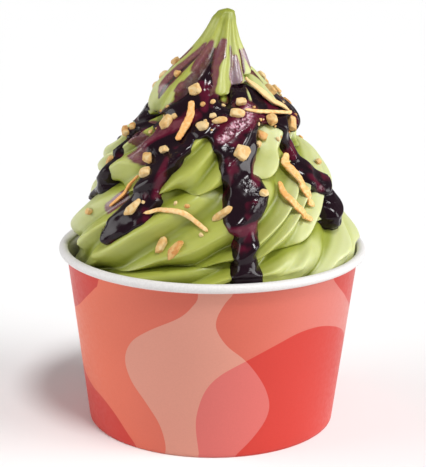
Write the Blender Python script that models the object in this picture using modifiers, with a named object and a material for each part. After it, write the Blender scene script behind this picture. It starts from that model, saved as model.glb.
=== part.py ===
"""A paper cup of soft serve: a swirl with berry sauce, chopped nuts and toasted strips on it.

Lengths below are in millimetres and angles in degrees, counter-clockwise seen from above, with
0 to the right (+X) and -90 to the front (-Y). The foot of the cup stands on z = 0.
"""

import math

import bmesh
import bpy
import numpy as np
from mathutils import Vector

MM = 0.001

# The paper cup.
CUP_HEIGHT = 56.7
RIM_RADIUS = 48.0
BEAD_RADIUS = 1.39
WALL_TOP_RADIUS = 45.8
WALL_FOOT_RADIUS = 38.9
PAPER = 0.45
CLEAR = 0.3
BASE_TOP = 6.2
BASE_PAPER = 0.35
HEM_HEIGHT = 5.0
CUP_STEPS = 64

# The swirl: a fluted rope wound upward in a spiral, drawn out to a tip that leans to the right.
TIP_HEIGHT = 129.7
TURN = 360
ROPE_START = -540
ROPE_END = 900
COLUMN_ANGLE = 5
ROWS = 7
SLANT = 60
SHOULDER_ROUND = 1.9
LIP_PLACE = 0.13
FLUTE_DEPTH = 6.0
FLUTE_ROUND = 1.8
CONE_FLUTE_HEIGHT = 110
CONE_FLUTE_ROUND = 5
RIM_ROOM_RADIUS = 44.3
RIM_ROOM_HEIGHT = 57.6

# Height of the groove under the rope, along the rope's unwound angle.
GROOVE = [
    (-540, 44), (-360, 45), (-220, 49), (-180, 51), (-150, 53.2), (-116, 57), (-90, 59.5),
    (-64, 62.3), (-40, 66.3), (0, 71.5), (90, 75.5), (180, 78), (246, 79.8), (272, 81.3),
    (296, 84.3), (320, 87), (360, 89.5), (450, 93), (540, 95.6), (619, 102), (676, 108),
    (720, 111.5), (800, 119), (900, 127),
]
# Radius of the whole pile at each height.
PILE = [
    (40, 42.2), (50, 43.6), (57, 44.9), (60.5, 44.6), (66.3, 42.3), (74, 38.9), (81.7, 35.6),
    (89.4, 30.4), (97, 24.6), (102.6, 20.6), (106.3, 16.8), (110, 13.5), (113.8, 10.4),
    (117.5, 7.8), (121, 5.7), (124.8, 4.1), (128, 2.9), (129.2, 1.8), (TIP_HEIGHT, 0),
]
# How far the pile's middle stands to the right at each height.
LEAN = [(40, 0), (98, 0), (106, -1), (112, -0.6), (116, 0.6), (122, 1.9), (128, 3.2), (130, 4)]
# Height at which the drawn-out cone begins, by angle from the left round the front.
CONE_BASE = [(0, 95.8), (36, 98.8), (79, 102), (136, 108), (170, 110.5), (240, 110), (360, 95.8)]
# How much flatter the pile is on its right and on its left at each height.
FLATTER_RIGHT = [
    (57, 0.3), (60, 1), (64, 2.2), (68, 2.6), (71.5, 3), (75, 3.3), (79, 3.1), (82.6, 3.5),
    (86.4, 3.3), (88.2, 3.8), (90, 5), (92, 4), (94, 2.6), (96, 1), (100, 0.6), (106, 0),
]
FLATTER_LEFT = [
    (86, 0), (88, 1.3), (90, 1.8), (92, 0.9), (94, 0.6), (96, 2), (99.5, 2.9), (103, 2), (107, 0),
]
# Depth of the groove, how full the lip above it is, and how far it sags, along the unwound angle.
GROOVE_DEPTH = [
    (-540, 5), (-180, 6), (-90, 7.2), (-40, 7.2), (60, 6), (200, 7.5), (300, 9), (345, 6.5), (500, 6),
]
LIP_ROUND = [(-150, 3.2), (-115, 1.5), (-85, 1.5), (-60, 2.4), (-40, 3.2)]
LIP_SAG = [(-540, 2), (-180, 2.6), (150, 3), (235, 4.2), (320, 4.4), (380, 3), (700, 2.6)]


def evenly(first, last):
    """Flutes 25 degrees apart, each a crest and a crease."""
    return [knot for angle in range(first, last, 25) for knot in ((angle, 1), (angle + 10, 0))]


# The rope's flutes as (unwound angle at the groove, relief), 1 on a crest and 0 in a deep crease:
# even behind, uneven in front.
FLUTES = [
    *evenly(-640, -540), (-530, 1), (-500, 0), (-490, 1), (-485, 0.1), (-475, 1), (-465, 0.7),
    (-460, 1), (-435, 0), (-420, 1), (-405, 0), *evenly(-390, -240), (-240, 1), (-225, 0), (-200, 1),
    (-185, 0.35), (-175, 1), (-165, 0.2), (-155, 1), (-143, 0), (-130, 1), (-112, 0), (-97, 0.9),
    (-88, 0.3), (-78, 1), (-65, 0.3), (-50, 1), (-40, 0), *evenly(-25, 140), (150, 1), (160, 0),
    (170, 1), (180, 0.2), (190, 1), (210, 0.1), (225, 1), (230, 0.3), (240, 1), (250, 0.1), (260, 1),
    (275, 0), (295, 1), (310, 0), (320, 1), (335, 0), *evenly(350, 790),
]
# How far each flute bows sideways on its way up, by its unwound angle at the groove.
FLUTE_BOW = [(-175, 0), (-155, 3), (-140, 12), (-120, 18), (-100, 14), (-70, 0)]
# The cone's wide flutes as (angle at the height below, relief).
CONE_FLUTES = [
    (-205, 1), (-185, 0.2), (-168, 1), (-138, 0.45), (-128, 1), (-103, 0), (-77, 1), (-62, 0.3),
    (-48, 0.95), (-29, 0.35), (-12, 1), (8, 0.2), (30, 1), (52, 0.2), (75, 1), (95, 0.2), (115, 1),
    (135, 0.2), (155, 1), (175, 0.2), (192, 1), (222, 0.45),
]

# Berry sauce: a skin round the top, and runs down the sides as (angle, height, half width).
SAUCE = 1.1
SAUCE_LOW = 92
SAUCE_HIGH = 113
RUN_THICKNESS = 1.8
RUN_DEPTH = 7
BRIDGE = 1.0
RUNS = [
    [(-163, 92, 2.0), (-159, 86, 1.8), (-157, 81.5, 2.2), (-160, 77.6, 3.2),
     (-166, 75.4, 2.2), (-172, 73.4, 1.6), (-176, 71.6, 1.5)],
    [(-118, 94, 8.4), (-120.5, 90.4, 7.4), (-122, 86.9, 5.8),
     (-123, 83.4, 4.4), (-124.5, 79.4, 4.8), (-125.5, 76.4, 5.6), (-128.5, 73.7, 5.4),
     (-132, 70.4, 4.2), (-136, 66.6, 3.5), (-137, 64.8, 3.3)],
    [(-75, 95, 8.2), (-77.4, 89.2, 6.0), (-79, 85.1, 5.2),
     (-77.5, 82, 5.6), (-75.5, 79.4, 6.9), (-77.5, 76.7, 5.9), (-79, 73.8, 5.3),
     (-77.5, 70.6, 4.2), (-77.5, 67.2, 3.7), (-77.6, 62, 3.9), (-77, 59.4, 4.6)],
    [(-32, 96, 3.8), (-29, 91, 3.0), (-28.5, 88, 3.2),
     (-28.6, 85.5, 3.4), (-27.5, 82.5, 4.2), (-25, 79.3, 4.5), (-18, 76, 3.0),
     (-15, 73.3, 2.3), (-16, 70.5, 3.0), (-18, 67.6, 3.7), (-18.5, 66.2, 3.5)],
    [(35, 95, 4.0), (38, 88, 3.4), (44, 82, 3.6), (50, 76, 2.6), (53, 73, 3.2)],
    [(95, 95, 7.0), (100, 88, 5.5), (103, 82, 4.6), (108, 75, 3.6), (112, 68, 3.0), (114, 65, 3.6)],
    [(150, 94, 5.0), (148, 86, 4.0), (152, 80, 3.2), (158, 76, 3.4)],
]

# Chopped nuts in front as (angle, height, width, length, turn), and how many lie behind.
NUTS = [
    (165, 112.7, 3.0, 2.4, 20), (-142, 110.7, 1.9, 2.1, 10), (-106, 107.2, 3.6, 3.1, 30),
    (-12, 104.9, 3.7, 3.8, 40), (-63.4, 104, 3.0, 2.6, 0), (-71.4, 101.3, 4.1, 2.6, -10),
    (-44.4, 98.7, 3.0, 3.3, 20), (-85.4, 99.7, 3.8, 1.9, 5), (-97.4, 98, 3.3, 2.7, 40),
    (-125.5, 97.7, 3.4, 4.8, 15), (-120.5, 99.9, 2.1, 1.6, 30), (-54.4, 94.3, 3.4, 2.6, -30),
    (-62.4, 92.6, 2.4, 1.9, 0), (-76.4, 91.6, 4.4, 4.4, 35), (-23.4, 96.2, 3.2, 4.1, -20),
    (-128.5, 88.5, 3.7, 2.8, 0), (-119.5, 91.3, 2.5, 2.5, 45), (-125.5, 84.9, 3.0, 3.3, 30),
    (-165.5, 93.3, 2.5, 2.2, 0), (-161.5, 94.5, 2.2, 1.9, 20), (-163.5, 92.5, 2.2, 1.9, 50),
    (-161.5, 84.3, 3.2, 3.2, 10), (-156.7, 70.1, 2.2, 2.2, 0), (-126.7, 75.3, 2.3, 5.2, -35),
    (-86.7, 75.1, 2.4, 6.0, -38), (-112.7, 64.9, 2.5, 4.8, 5), (-105.7, 64.7, 2.5, 6.0, -25),
    (-68.7, 80.5, 2.5, 2.2, 10), (-12.6, 83.9, 2.1, 1.8, 0),
]
NUTS_BEHIND = 16
NUT_POINTS = 8
NUT_LIFT = 1.0
NUT_ROOT = 0.5
SEED = 7

# Toasted strips as paths of (angle, height), with the last ones behind.
STRIP_WIDTH = 1.7
STRIP_THICKNESS = 1.2
STRIP_LIFT = 0.1
STRIPS = [
    [(-107.2, 104), (-106.4, 100.5), (-109.5, 97.3), (-112.5, 93.6)],
    [(-38.2, 109.8), (-35, 105.9), (-31.4, 102.7), (-18.4, 98.7)],
    [(-64.4, 102.1), (-43.4, 100.5), (-19.4, 99)],
    [(-34, 89.4), (-39.5, 84.8), (-42.2, 79.8), (-38, 74)],
    [(-53.2, 82.2), (-54, 78.5), (-49, 74.2), (-42.7, 71)],
    [(-145.7, 72.9), (-139, 76.9), (-134.5, 80.5), (-132, 83.1)],
    [(-121.7, 74.2), (-112.7, 75.1), (-104.7, 75.3), (-99.2, 72.4), (-92.7, 70.4)],
    [(70, 104), (78, 99), (84, 94)],
    [(128, 96), (120, 90), (118, 84)],
    [(20, 88), (30, 86), (38, 84)],
]


def through(knots, x):
    """Smooth curve through (x, y) knots, flat beyond their ends."""
    knot_x, knot_y = np.array(knots, float).T
    slope = np.gradient(knot_y, knot_x)
    i = np.clip(np.searchsorted(knot_x, x) - 1, 0, len(knot_x) - 2)
    span = knot_x[i + 1] - knot_x[i]
    t = np.clip((x - knot_x[i]) / span, 0, 1)
    start = (1 + 2 * t) * (1 - t) ** 2 * knot_y[i] + t * (1 - t) ** 2 * span * slope[i]
    end = t * t * (3 - 2 * t) * knot_y[i + 1] + t * t * (t - 1) * span * slope[i + 1]
    return start + end


def step(low, high, x):
    """0 below low, 1 above high, smooth between."""
    t = np.clip((x - low) / (high - low), 0, 1)
    return t * t * (3 - 2 * t)


def relief(flutes, angle, rounding):
    """Straight faces between crests and creases, each rounded over a few degrees."""
    knot_angle, knot_relief = np.array(flutes, float).T
    taps = [np.interp(angle + rounding * k, knot_angle, knot_relief) for k in (-1, -0.33, 0.33, 1)]
    return sum(taps) / len(taps)


def crest(first):
    """Relief of the flute that leaves the groove at an unwound angle."""
    return relief(FLUTES, first, FLUTE_ROUND)


def bow(first, w):
    """How far the flute that leaves the groove at an angle has gone round, w of the way up."""
    return SLANT * w + 4 * w * (1 - w) * through(FLUTE_BOW, first)


def flute_start(phi, w):
    """Unwound angle at which the flute that passes a place left the groove, by repeated guesses."""
    first = phi - SLANT * w
    for _ in range(4):
        first = phi - bow(first, w)
    return first


def wall_radius(z):
    """Outer radius of the cup's tapered wall."""
    bead_height = CUP_HEIGHT - BEAD_RADIUS
    return WALL_FOOT_RADIUS + (WALL_TOP_RADIUS - WALL_FOOT_RADIUS) * z / bead_height


def groove(phi):
    """Height of the groove, which ends at the tip."""
    return np.where(phi > ROPE_END - COLUMN_ANGLE / 2, TIP_HEIGHT, through(GROOVE, phi))


def groove_open(phi):
    """1 where the groove is open, 0 before the rope laps itself and where it runs into the cone."""
    return step(ROPE_START + TURN, -135, phi) * (1 - step(665, 740, phi))


def sauce_skin(z):
    """Thickness of the skin of sauce round the top of the pile."""
    return SAUCE * step(SAUCE_LOW - 2, SAUCE_LOW + 2, z) * (1 - step(SAUCE_HIGH - 6, SAUCE_HIGH, z))


def rope_point(phi, w):
    """Point of the swirl at unwound angle phi, w of the way from the groove below to the one above.

    The section bulges between two deep grooves, its lower lip sags over the groove under it, and
    slanting flutes cross it. Above the last groove it gives way to the cone with wider flutes.
    """
    phi = np.maximum(phi, ROPE_START)
    low, high = groove_open(phi), groove_open(phi + TURN)
    crest_low, crest_high = crest(phi), crest(phi + TURN)
    z_low = groove(phi) + 1.2 * low
    z_high = groove(phi + TURN) + 1.2 * high
    sag = low * through(LIP_SAG, phi) * (0.35 + 0.65 * crest_low)
    z = z_low + w * (z_high - z_low) - sag * w / LIP_PLACE * np.exp(1 - w / LIP_PLACE) * (1 - w)
    z = np.minimum(z, TIP_HEIGHT)

    depth_low = low * (1 - 0.3 * crest_low) * through(GROOVE_DEPTH, phi)
    depth_high = high * (1 - 0.3 * crest_high) * through(GROOVE_DEPTH, phi + TURN)
    depth = np.where(w < 0.5, depth_low, depth_high)
    round_off = np.where(w < 0.5, through(LIP_ROUND, phi), SHOULDER_ROUND)
    bulge = (1 - np.abs(2 * w - 1) ** round_off) ** (1 / round_off)
    radius = through(PILE, z) - depth * (1 - bulge)

    cone = step(-0.5, 2, z - through(CONE_BASE, np.mod(phi - 180, TURN)))
    ends = np.clip(np.sin(np.pi * w), 0, 1) ** 0.35
    flute = FLUTE_DEPTH * np.interp(phi, [-540, -500, 0, 700], [0, 1, 1, 0.7]) * ends * (1 - cone)
    radius = radius + flute * (crest(flute_start(phi, w)) - 0.62)

    around = np.mod(phi + 180, TURN) - 180
    lean = 0.7 - 0.45 * np.cos(np.radians(around - 20))
    wide = relief(CONE_FLUTES, around - lean * (z - CONE_FLUTE_HEIGHT), CONE_FLUTE_ROUND)
    cone_depth = np.interp(z, [96, 100, 106, 112, 120, TIP_HEIGHT], [0, 3.4, 4.4, 3.6, 1.8, 0])
    radius = radius + cone_depth * cone * (wide - 0.66) + sauce_skin(z)
    toward_right = np.cos(np.radians(phi))
    radius = radius - through(FLATTER_RIGHT, z) * step(0.2, 0.98, toward_right)
    radius = radius - through(FLATTER_LEFT, z) * step(0.2, 0.98, -toward_right)

    room = np.minimum(RIM_ROOM_RADIUS, wall_radius(z) - PAPER - CLEAR)
    room = np.where(z < RIM_ROOM_HEIGHT, room, RIM_ROOM_RADIUS + 1.2 * (z - RIM_ROOM_HEIGHT))
    radius = np.minimum(radius, room)
    left = np.mod(phi + 352, TURN) - 180
    radius = radius - 3.5 * np.exp(-((left / 20) ** 2) - ((z - 57) / 5) ** 2)
    radius = np.maximum(radius, 0)
    turn = np.radians(phi)
    x = radius * np.cos(turn) + through(LEAN, z)
    return np.stack(np.broadcast_arrays(x, radius * np.sin(turn), z), -1)


def seat(theta, z):
    """Place on the pile at an angle and height: its point, the way out, along and up the side.

    The last value is how far sauce must rise there to level the hollow between two flutes.
    """
    phi = theta + TURN * np.arange(-1, 3)
    low, high = groove(phi), groove(phi + TURN)
    turn = int(np.argmax((low <= z) & (z < high)))
    w = (z - low[turn]) / (high[turn] - low[turn])
    point = rope_point(phi[turn], w)
    middle = through(LEAN, z)
    around = np.array([math.cos(math.radians(theta)), math.sin(math.radians(theta)), 0])
    radius = math.hypot(point[0] - through(LEAN, point[2]), point[1])
    hollow = max(through(PILE, z) - BRIDGE - radius, 0)
    point = around * radius + [middle, 0, z]
    slope = through(PILE, z + 1) - through(PILE, z - 1)
    out = around * 2 - [0, 0, slope]
    out = out / np.linalg.norm(out)
    along = np.array([-around[1], around[0], 0])
    return point, out, along, np.cross(out, along), hollow


def new_object(name, mesh, collection):
    thing = bpy.data.objects.new(name, mesh)
    collection.objects.link(thing)
    return thing


def mesh_of(name, points, faces, merge=0.0):
    """Closed mesh from points in millimetres, with its faces turned outward."""
    body = bmesh.new()
    verts = [body.verts.new(Vector(point) * MM) for point in points]
    for face in faces:
        body.faces.new([verts[i] for i in face])
    if merge:
        bmesh.ops.remove_doubles(body, verts=body.verts, dist=merge * MM)
    bmesh.ops.recalc_face_normals(body, faces=body.faces)
    mesh = bpy.data.meshes.new(name)
    body.to_mesh(mesh)
    body.free()
    return mesh


def turned(name, profile, collection):
    """Round body turned about Z from a closed profile of (radius, height)."""
    points = [(radius * MM, 0, z * MM) for radius, z in profile]
    edges = [(i, (i + 1) % len(points)) for i in range(len(points))]
    mesh = bpy.data.meshes.new(name)
    mesh.from_pydata(points, edges, [])
    thing = new_object(name, mesh, collection)
    screw = thing.modifiers.new("Turn", "SCREW")
    screw.steps = CUP_STEPS
    screw.render_steps = CUP_STEPS
    screw.use_merge_vertices = True
    screw.merge_threshold = 0.00001
    screw.use_smooth_shade = True
    return thing


def paint(thing, name, colour, roughness):
    material = bpy.data.materials.new(name)
    material.use_nodes = True
    shader = material.node_tree.nodes["Principled BSDF"]
    shader.inputs["Base Color"].default_value = (*colour, 1)
    shader.inputs["Roughness"].default_value = roughness
    thing.data.materials.append(material)


def cup_wall(collection):
    """Tapered paper wall: a rolled bead at the rim, and a hem folded up inside at the foot."""
    bead_z = CUP_HEIGHT - BEAD_RADIUS
    bead_r = RIM_RADIUS - BEAD_RADIUS
    bead = []
    for angle in np.radians(np.linspace(225, -115, 12)):
        bead.append((bead_r + BEAD_RADIUS * math.cos(angle), bead_z + BEAD_RADIUS * math.sin(angle)))
    slot = 2 * CLEAR + BASE_PAPER
    hem_out = PAPER + slot
    hem_in = hem_out + PAPER
    profile = bead + [
        (wall_radius(bead_z - 1.4), bead_z - 1.4),
        (wall_radius(0.3), 0.3),
        (wall_radius(0) - 0.3, 0),
        (wall_radius(0) - hem_in + 0.3, 0),
        (wall_radius(0.3) - hem_in, 0.3),
        (wall_radius(HEM_HEIGHT) - hem_in, HEM_HEIGHT),
        (wall_radius(HEM_HEIGHT) - hem_out, HEM_HEIGHT),
        (wall_radius(PAPER) - hem_out, PAPER),
        (wall_radius(PAPER) - PAPER, PAPER),
        (wall_radius(bead_z - 1.7) - PAPER, bead_z - 1.7),
    ]
    wall = turned("cup_wall", profile, collection)
    paint(wall, "printed_paper", (0.75, 0.16, 0.11), 0.45)


def cup_base(collection):
    """Paper disc across the foot, its edge turned down into the hem."""
    skirt = PAPER + CLEAR
    lowest = PAPER + CLEAR
    under = BASE_TOP - BASE_PAPER
    profile = [
        (0, BASE_TOP),
        (wall_radius(BASE_TOP) - skirt, BASE_TOP),
        (wall_radius(lowest) - skirt, lowest),
        (wall_radius(lowest) - skirt - BASE_PAPER, lowest),
        (wall_radius(under) - skirt - BASE_PAPER, under),
        (0, under),
    ]
    base = turned("cup_base", profile, collection)
    paint(base, "plain_paper", (0.8, 0.77, 0.72), 0.6)


def swirl_mesh():
    """The wound rope as one skin: each turn's upper edge is the next turn's lower edge."""
    rows = np.arange(ROWS + 1) / ROWS
    w = 0.5 * rows + 0.25 * (1 - np.cos(np.pi * rows))
    start = np.arange(ROPE_START - SLANT, ROPE_END + 1, COLUMN_ANGLE)[:, None]
    phi = start + bow(start, w[None, :])
    points = rope_point(phi, w[None, :]).reshape(-1, 3)
    index = np.arange(len(points)).reshape(len(start), ROWS + 1)
    corners = [index[:-1, :-1], index[1:, :-1], index[1:, 1:], index[:-1, 1:]]
    faces = [np.stack(corners, -1).reshape(-1, 4)]

    # Inside the cup the filling narrows with the wall and ends flat above the base.
    count = TURN // COLUMN_ANGLE
    first = SLANT // COLUMN_ANGLE
    ring = index[first : first + count, 0]
    rope_end = [ring[-1], *index[0, ::-1]]
    turn = np.radians(start[first : first + count, 0])
    for z in (38, 22, BASE_TOP + CLEAR):
        radius = wall_radius(z) - PAPER - CLEAR
        lower = len(points) + np.arange(count)
        level = np.stack([radius * np.cos(turn), radius * np.sin(turn), np.full(count, z)], -1)
        points = np.vstack([points, level])
        faces.append(np.stack([lower, np.roll(lower, -1), np.roll(ring, -1), ring], -1))
        ring = lower
    faces = [list(face) for face in np.vstack(faces)] + [list(ring[::-1]), rope_end]
    return mesh_of("soft_serve", points, faces, merge=0.002)


def run_mesh(stations):
    """One run of sauce: a rounded ribbon laid down the side, with its root inside the swirl."""
    reach = np.arange(len(stations))
    count = int(1.4 * len(stations))
    steps = np.linspace(0, len(stations) - 1, count)
    theta, height, half = (
        through(list(zip(reach, column)), steps) for column in zip(*stations)
    )
    across = np.array([-1, -0.8, -0.3, 0.3, 0.8, 1])
    dome = np.sqrt(1 - across**2)
    length = steps[-1] - steps
    end = np.sqrt(np.clip(1 - (1 - np.clip(length, 0, 1)) ** 2, 0.05, 1))
    points = []
    for angle, z, width in zip(theta, height, half * end):
        radius = through(PILE, z)
        for side, rise in zip(across, dome):
            spot, out, _, _, hollow = seat(angle + math.degrees(side * width / radius), z)
            level = RUN_THICKNESS * rise + hollow * (0.5 + 0.5 * rise)
            points.append(spot + out * (level - 0.2))
        for side in (1, -1):
            spot, out, _, _, _ = seat(angle + math.degrees(side * width / radius), z)
            points.append(spot - out * RUN_DEPTH)
    ring = len(across) + 2
    faces = [list(range(ring)), list(range(ring * (count - 1), ring * count))]
    for level in range(count - 1):
        for i in range(ring):
            j = (i + 1) % ring
            a, b = level * ring, (level + 1) * ring
            faces.append([a + i, a + j, b + j, b + i])
    return mesh_of("run", points, faces)


def nut_mesh(rng, angle, z, width, length, turn):
    """Angular chip: the hull of a few random points, its underside down through the sauce."""
    spot, out, along, up, hollow = seat(angle, z)
    lift = NUT_LIFT + 0.6 * hollow
    size = np.array([width, length, 0.62 * min(width, length) + 0.7]) / 2
    corners = rng.normal(size=(NUT_POINTS, 3))
    corners = corners / np.abs(corners).max(axis=1, keepdims=True) * rng.uniform(0.8, 1, (NUT_POINTS, 1))
    cos, sin = math.cos(math.radians(turn)), math.sin(math.radians(turn))
    first, second = along * cos + up * sin, up * cos - along * sin
    body = bmesh.new()
    for a, b, c in corners * size:
        rise = c + lift - (hollow + NUT_ROOT if c < 0 else 0)
        body.verts.new(Vector(spot + out * rise + first * a + second * b) * MM)
    bmesh.ops.convex_hull(body, input=body.verts)
    bmesh.ops.delete(body, geom=[v for v in body.verts if not v.link_faces], context="VERTS")
    mesh = bpy.data.meshes.new("nut")
    body.to_mesh(mesh)
    body.free()
    return mesh


def strip_mesh(path):
    """Flat stick laid along a path, four-sided and tapered to both ends."""
    steps = np.linspace(0, len(path) - 1, 2 * len(path) + 1)
    reach = np.arange(len(path))
    theta, height = (through(list(zip(reach, column)), steps) for column in zip(*path))
    seats = [seat(angle, z) for angle, z in zip(theta, height)]
    line = np.array([spot + out * hollow for spot, out, _, _, hollow in seats])
    line[1:-1] = (line[:-2] + 2 * line[1:-1] + line[2:]) / 4
    outs = np.array([out for _, out, _, _, _ in seats])
    ahead = np.gradient(line, axis=0)
    side = np.cross(ahead, outs)
    side = side / np.linalg.norm(side, axis=1, keepdims=True)
    taper = 0.55 + 0.45 * np.sin(np.pi * np.linspace(0.1, 0.9, len(steps)))
    points = []
    for spot, out, way, part in zip(line, outs, side, taper):
        for a, b in ((-1, -1), (1, -1), (1, 1), (-1, 1)):
            points.append(
                spot + way * a * part * STRIP_WIDTH / 2 + out * (b * STRIP_THICKNESS / 2 + STRIP_LIFT)
            )
    faces = [[0, 1, 2, 3], [len(points) - 4 + i for i in range(4)]]
    for level in range(len(steps) - 1):
        for i in range(4):
            j = (i + 1) % 4
            a, b = 4 * level, 4 * level + 4
            faces.append([a + i, a + j, b + j, b + i])
    return mesh_of("strip", points, faces)


def keep_largest(mesh):
    """Drops loose scraps, folded slivers and the walls of sealed hollows, leaving the outer skin."""
    body = bmesh.new()
    body.from_mesh(mesh)
    bmesh.ops.triangulate(body, faces=body.faces)
    left = set(body.faces)
    pieces = []
    while left:
        piece, edge_of = set(), [left.pop()]
        while edge_of:
            face = edge_of.pop()
            piece.add(face)
            clean = [edge.link_faces for edge in face.edges if len(edge.link_faces) == 2]
            near = {other for faces in clean for other in faces} & left
            left -= near
            edge_of.extend(near)
        pieces.append(piece)
    pieces.sort(key=len)
    for piece in pieces[:-1]:
        bmesh.ops.delete(body, geom=list(piece), context="FACES")
    body.to_mesh(mesh)
    body.free()


def soft_serve(collection):
    """The swirl with its sauce, nuts and strips fused into one body."""
    swirl = new_object("soft_serve", swirl_mesh(), collection)
    toppings = bpy.data.collections.new("toppings")
    toppings.hide_render = True
    bpy.context.scene.collection.children.link(toppings)
    for stations in RUNS:
        new_object("run", run_mesh(stations), toppings)
    rng = np.random.default_rng(SEED)
    for nut in NUTS:
        new_object("nut", nut_mesh(rng, *nut), toppings)
    for _ in range(NUTS_BEHIND):
        place = (rng.uniform(5, 175), rng.uniform(72, 110), *rng.uniform(2.1, 4.0, 2), rng.uniform(0, 180))
        new_object("nut", nut_mesh(rng, *place), toppings)
    for path in STRIPS:
        new_object("strip", strip_mesh(path), toppings)
    fuse = swirl.modifiers.new("Fuse", "BOOLEAN")
    fuse.operation = "UNION"
    fuse.operand_type = "COLLECTION"
    fuse.collection = toppings
    fuse.solver = "EXACT"
    graph = bpy.context.evaluated_depsgraph_get()
    fused = bpy.data.meshes.new_from_object(swirl.evaluated_get(graph))
    swirl.modifiers.clear()
    keep_largest(fused)
    swirl.data = fused
    fused.materials.clear()
    paint(swirl, "green_soft_serve", (0.40, 0.45, 0.13), 0.45)
    for thing in list(toppings.objects):
        bpy.data.objects.remove(thing)
    bpy.data.collections.remove(toppings)


for thing in list(bpy.data.objects):
    bpy.data.objects.remove(thing)
dessert = bpy.data.collections.new("cup_of_soft_serve")
bpy.context.scene.collection.children.link(dessert)
cup_wall(dessert)
cup_base(dessert)
soft_serve(dessert)
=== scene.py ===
"""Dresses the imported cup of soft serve: printed paper cup, fluted green swirl, dark berry sauce,
chopped nuts and toasted strips.

Lengths are in millimetres until a mesh is made, and angles in degrees counter-clockwise seen from
above, with 0 to the right (+X) and -90 to the front (-Y).
"""

import math

import bmesh
import bpy
import numpy as np
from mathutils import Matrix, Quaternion, Vector


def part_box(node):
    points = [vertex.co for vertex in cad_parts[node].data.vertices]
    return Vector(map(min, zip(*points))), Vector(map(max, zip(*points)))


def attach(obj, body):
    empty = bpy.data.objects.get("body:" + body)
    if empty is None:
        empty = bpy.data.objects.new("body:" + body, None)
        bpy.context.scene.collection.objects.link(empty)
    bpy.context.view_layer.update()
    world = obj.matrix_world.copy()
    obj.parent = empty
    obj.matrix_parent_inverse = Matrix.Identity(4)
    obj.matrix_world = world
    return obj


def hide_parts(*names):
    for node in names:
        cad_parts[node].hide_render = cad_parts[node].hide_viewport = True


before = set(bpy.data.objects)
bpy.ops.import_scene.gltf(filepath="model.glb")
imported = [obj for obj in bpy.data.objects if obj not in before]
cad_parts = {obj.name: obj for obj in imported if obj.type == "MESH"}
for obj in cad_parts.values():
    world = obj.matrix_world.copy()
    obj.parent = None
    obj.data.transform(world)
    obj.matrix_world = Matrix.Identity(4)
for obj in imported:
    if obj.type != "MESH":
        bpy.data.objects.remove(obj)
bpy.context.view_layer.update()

# Table: a pale sweep of paper in a white room, under three broad soft lamps: one above, the
# strongest to the right and one to the left. The camera looks down at the dessert from a little
# above the rim.
MM = 0.001
FLOOR_HALF_WIDTH = 4000
AIM = Vector((0.16, 0, 59.14)) * MM
CAMERA_DISTANCE = 480
CAMERA_PITCH = 17.3
CAMERA_AIM_HEIGHT = 40
CAMERA_ROLL = 0.56
LENS_TO_FRAME = 1511.8 / 467
SENSOR = 36
CLIP_START = 10
ROOM_STRENGTH = 0.22
# Each lamp as (name, azimuth right of the camera, elevation, breadth in degrees, brightness), where
# brightness is what a white card facing it would show.
LAMPS = [
    ("top_lamp", 28, 62, 14, 0.54),
    ("right_lamp", 74, 24, 40, 0.78),
    ("left_lamp", -84, 16, 46, 0.52),
]


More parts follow.
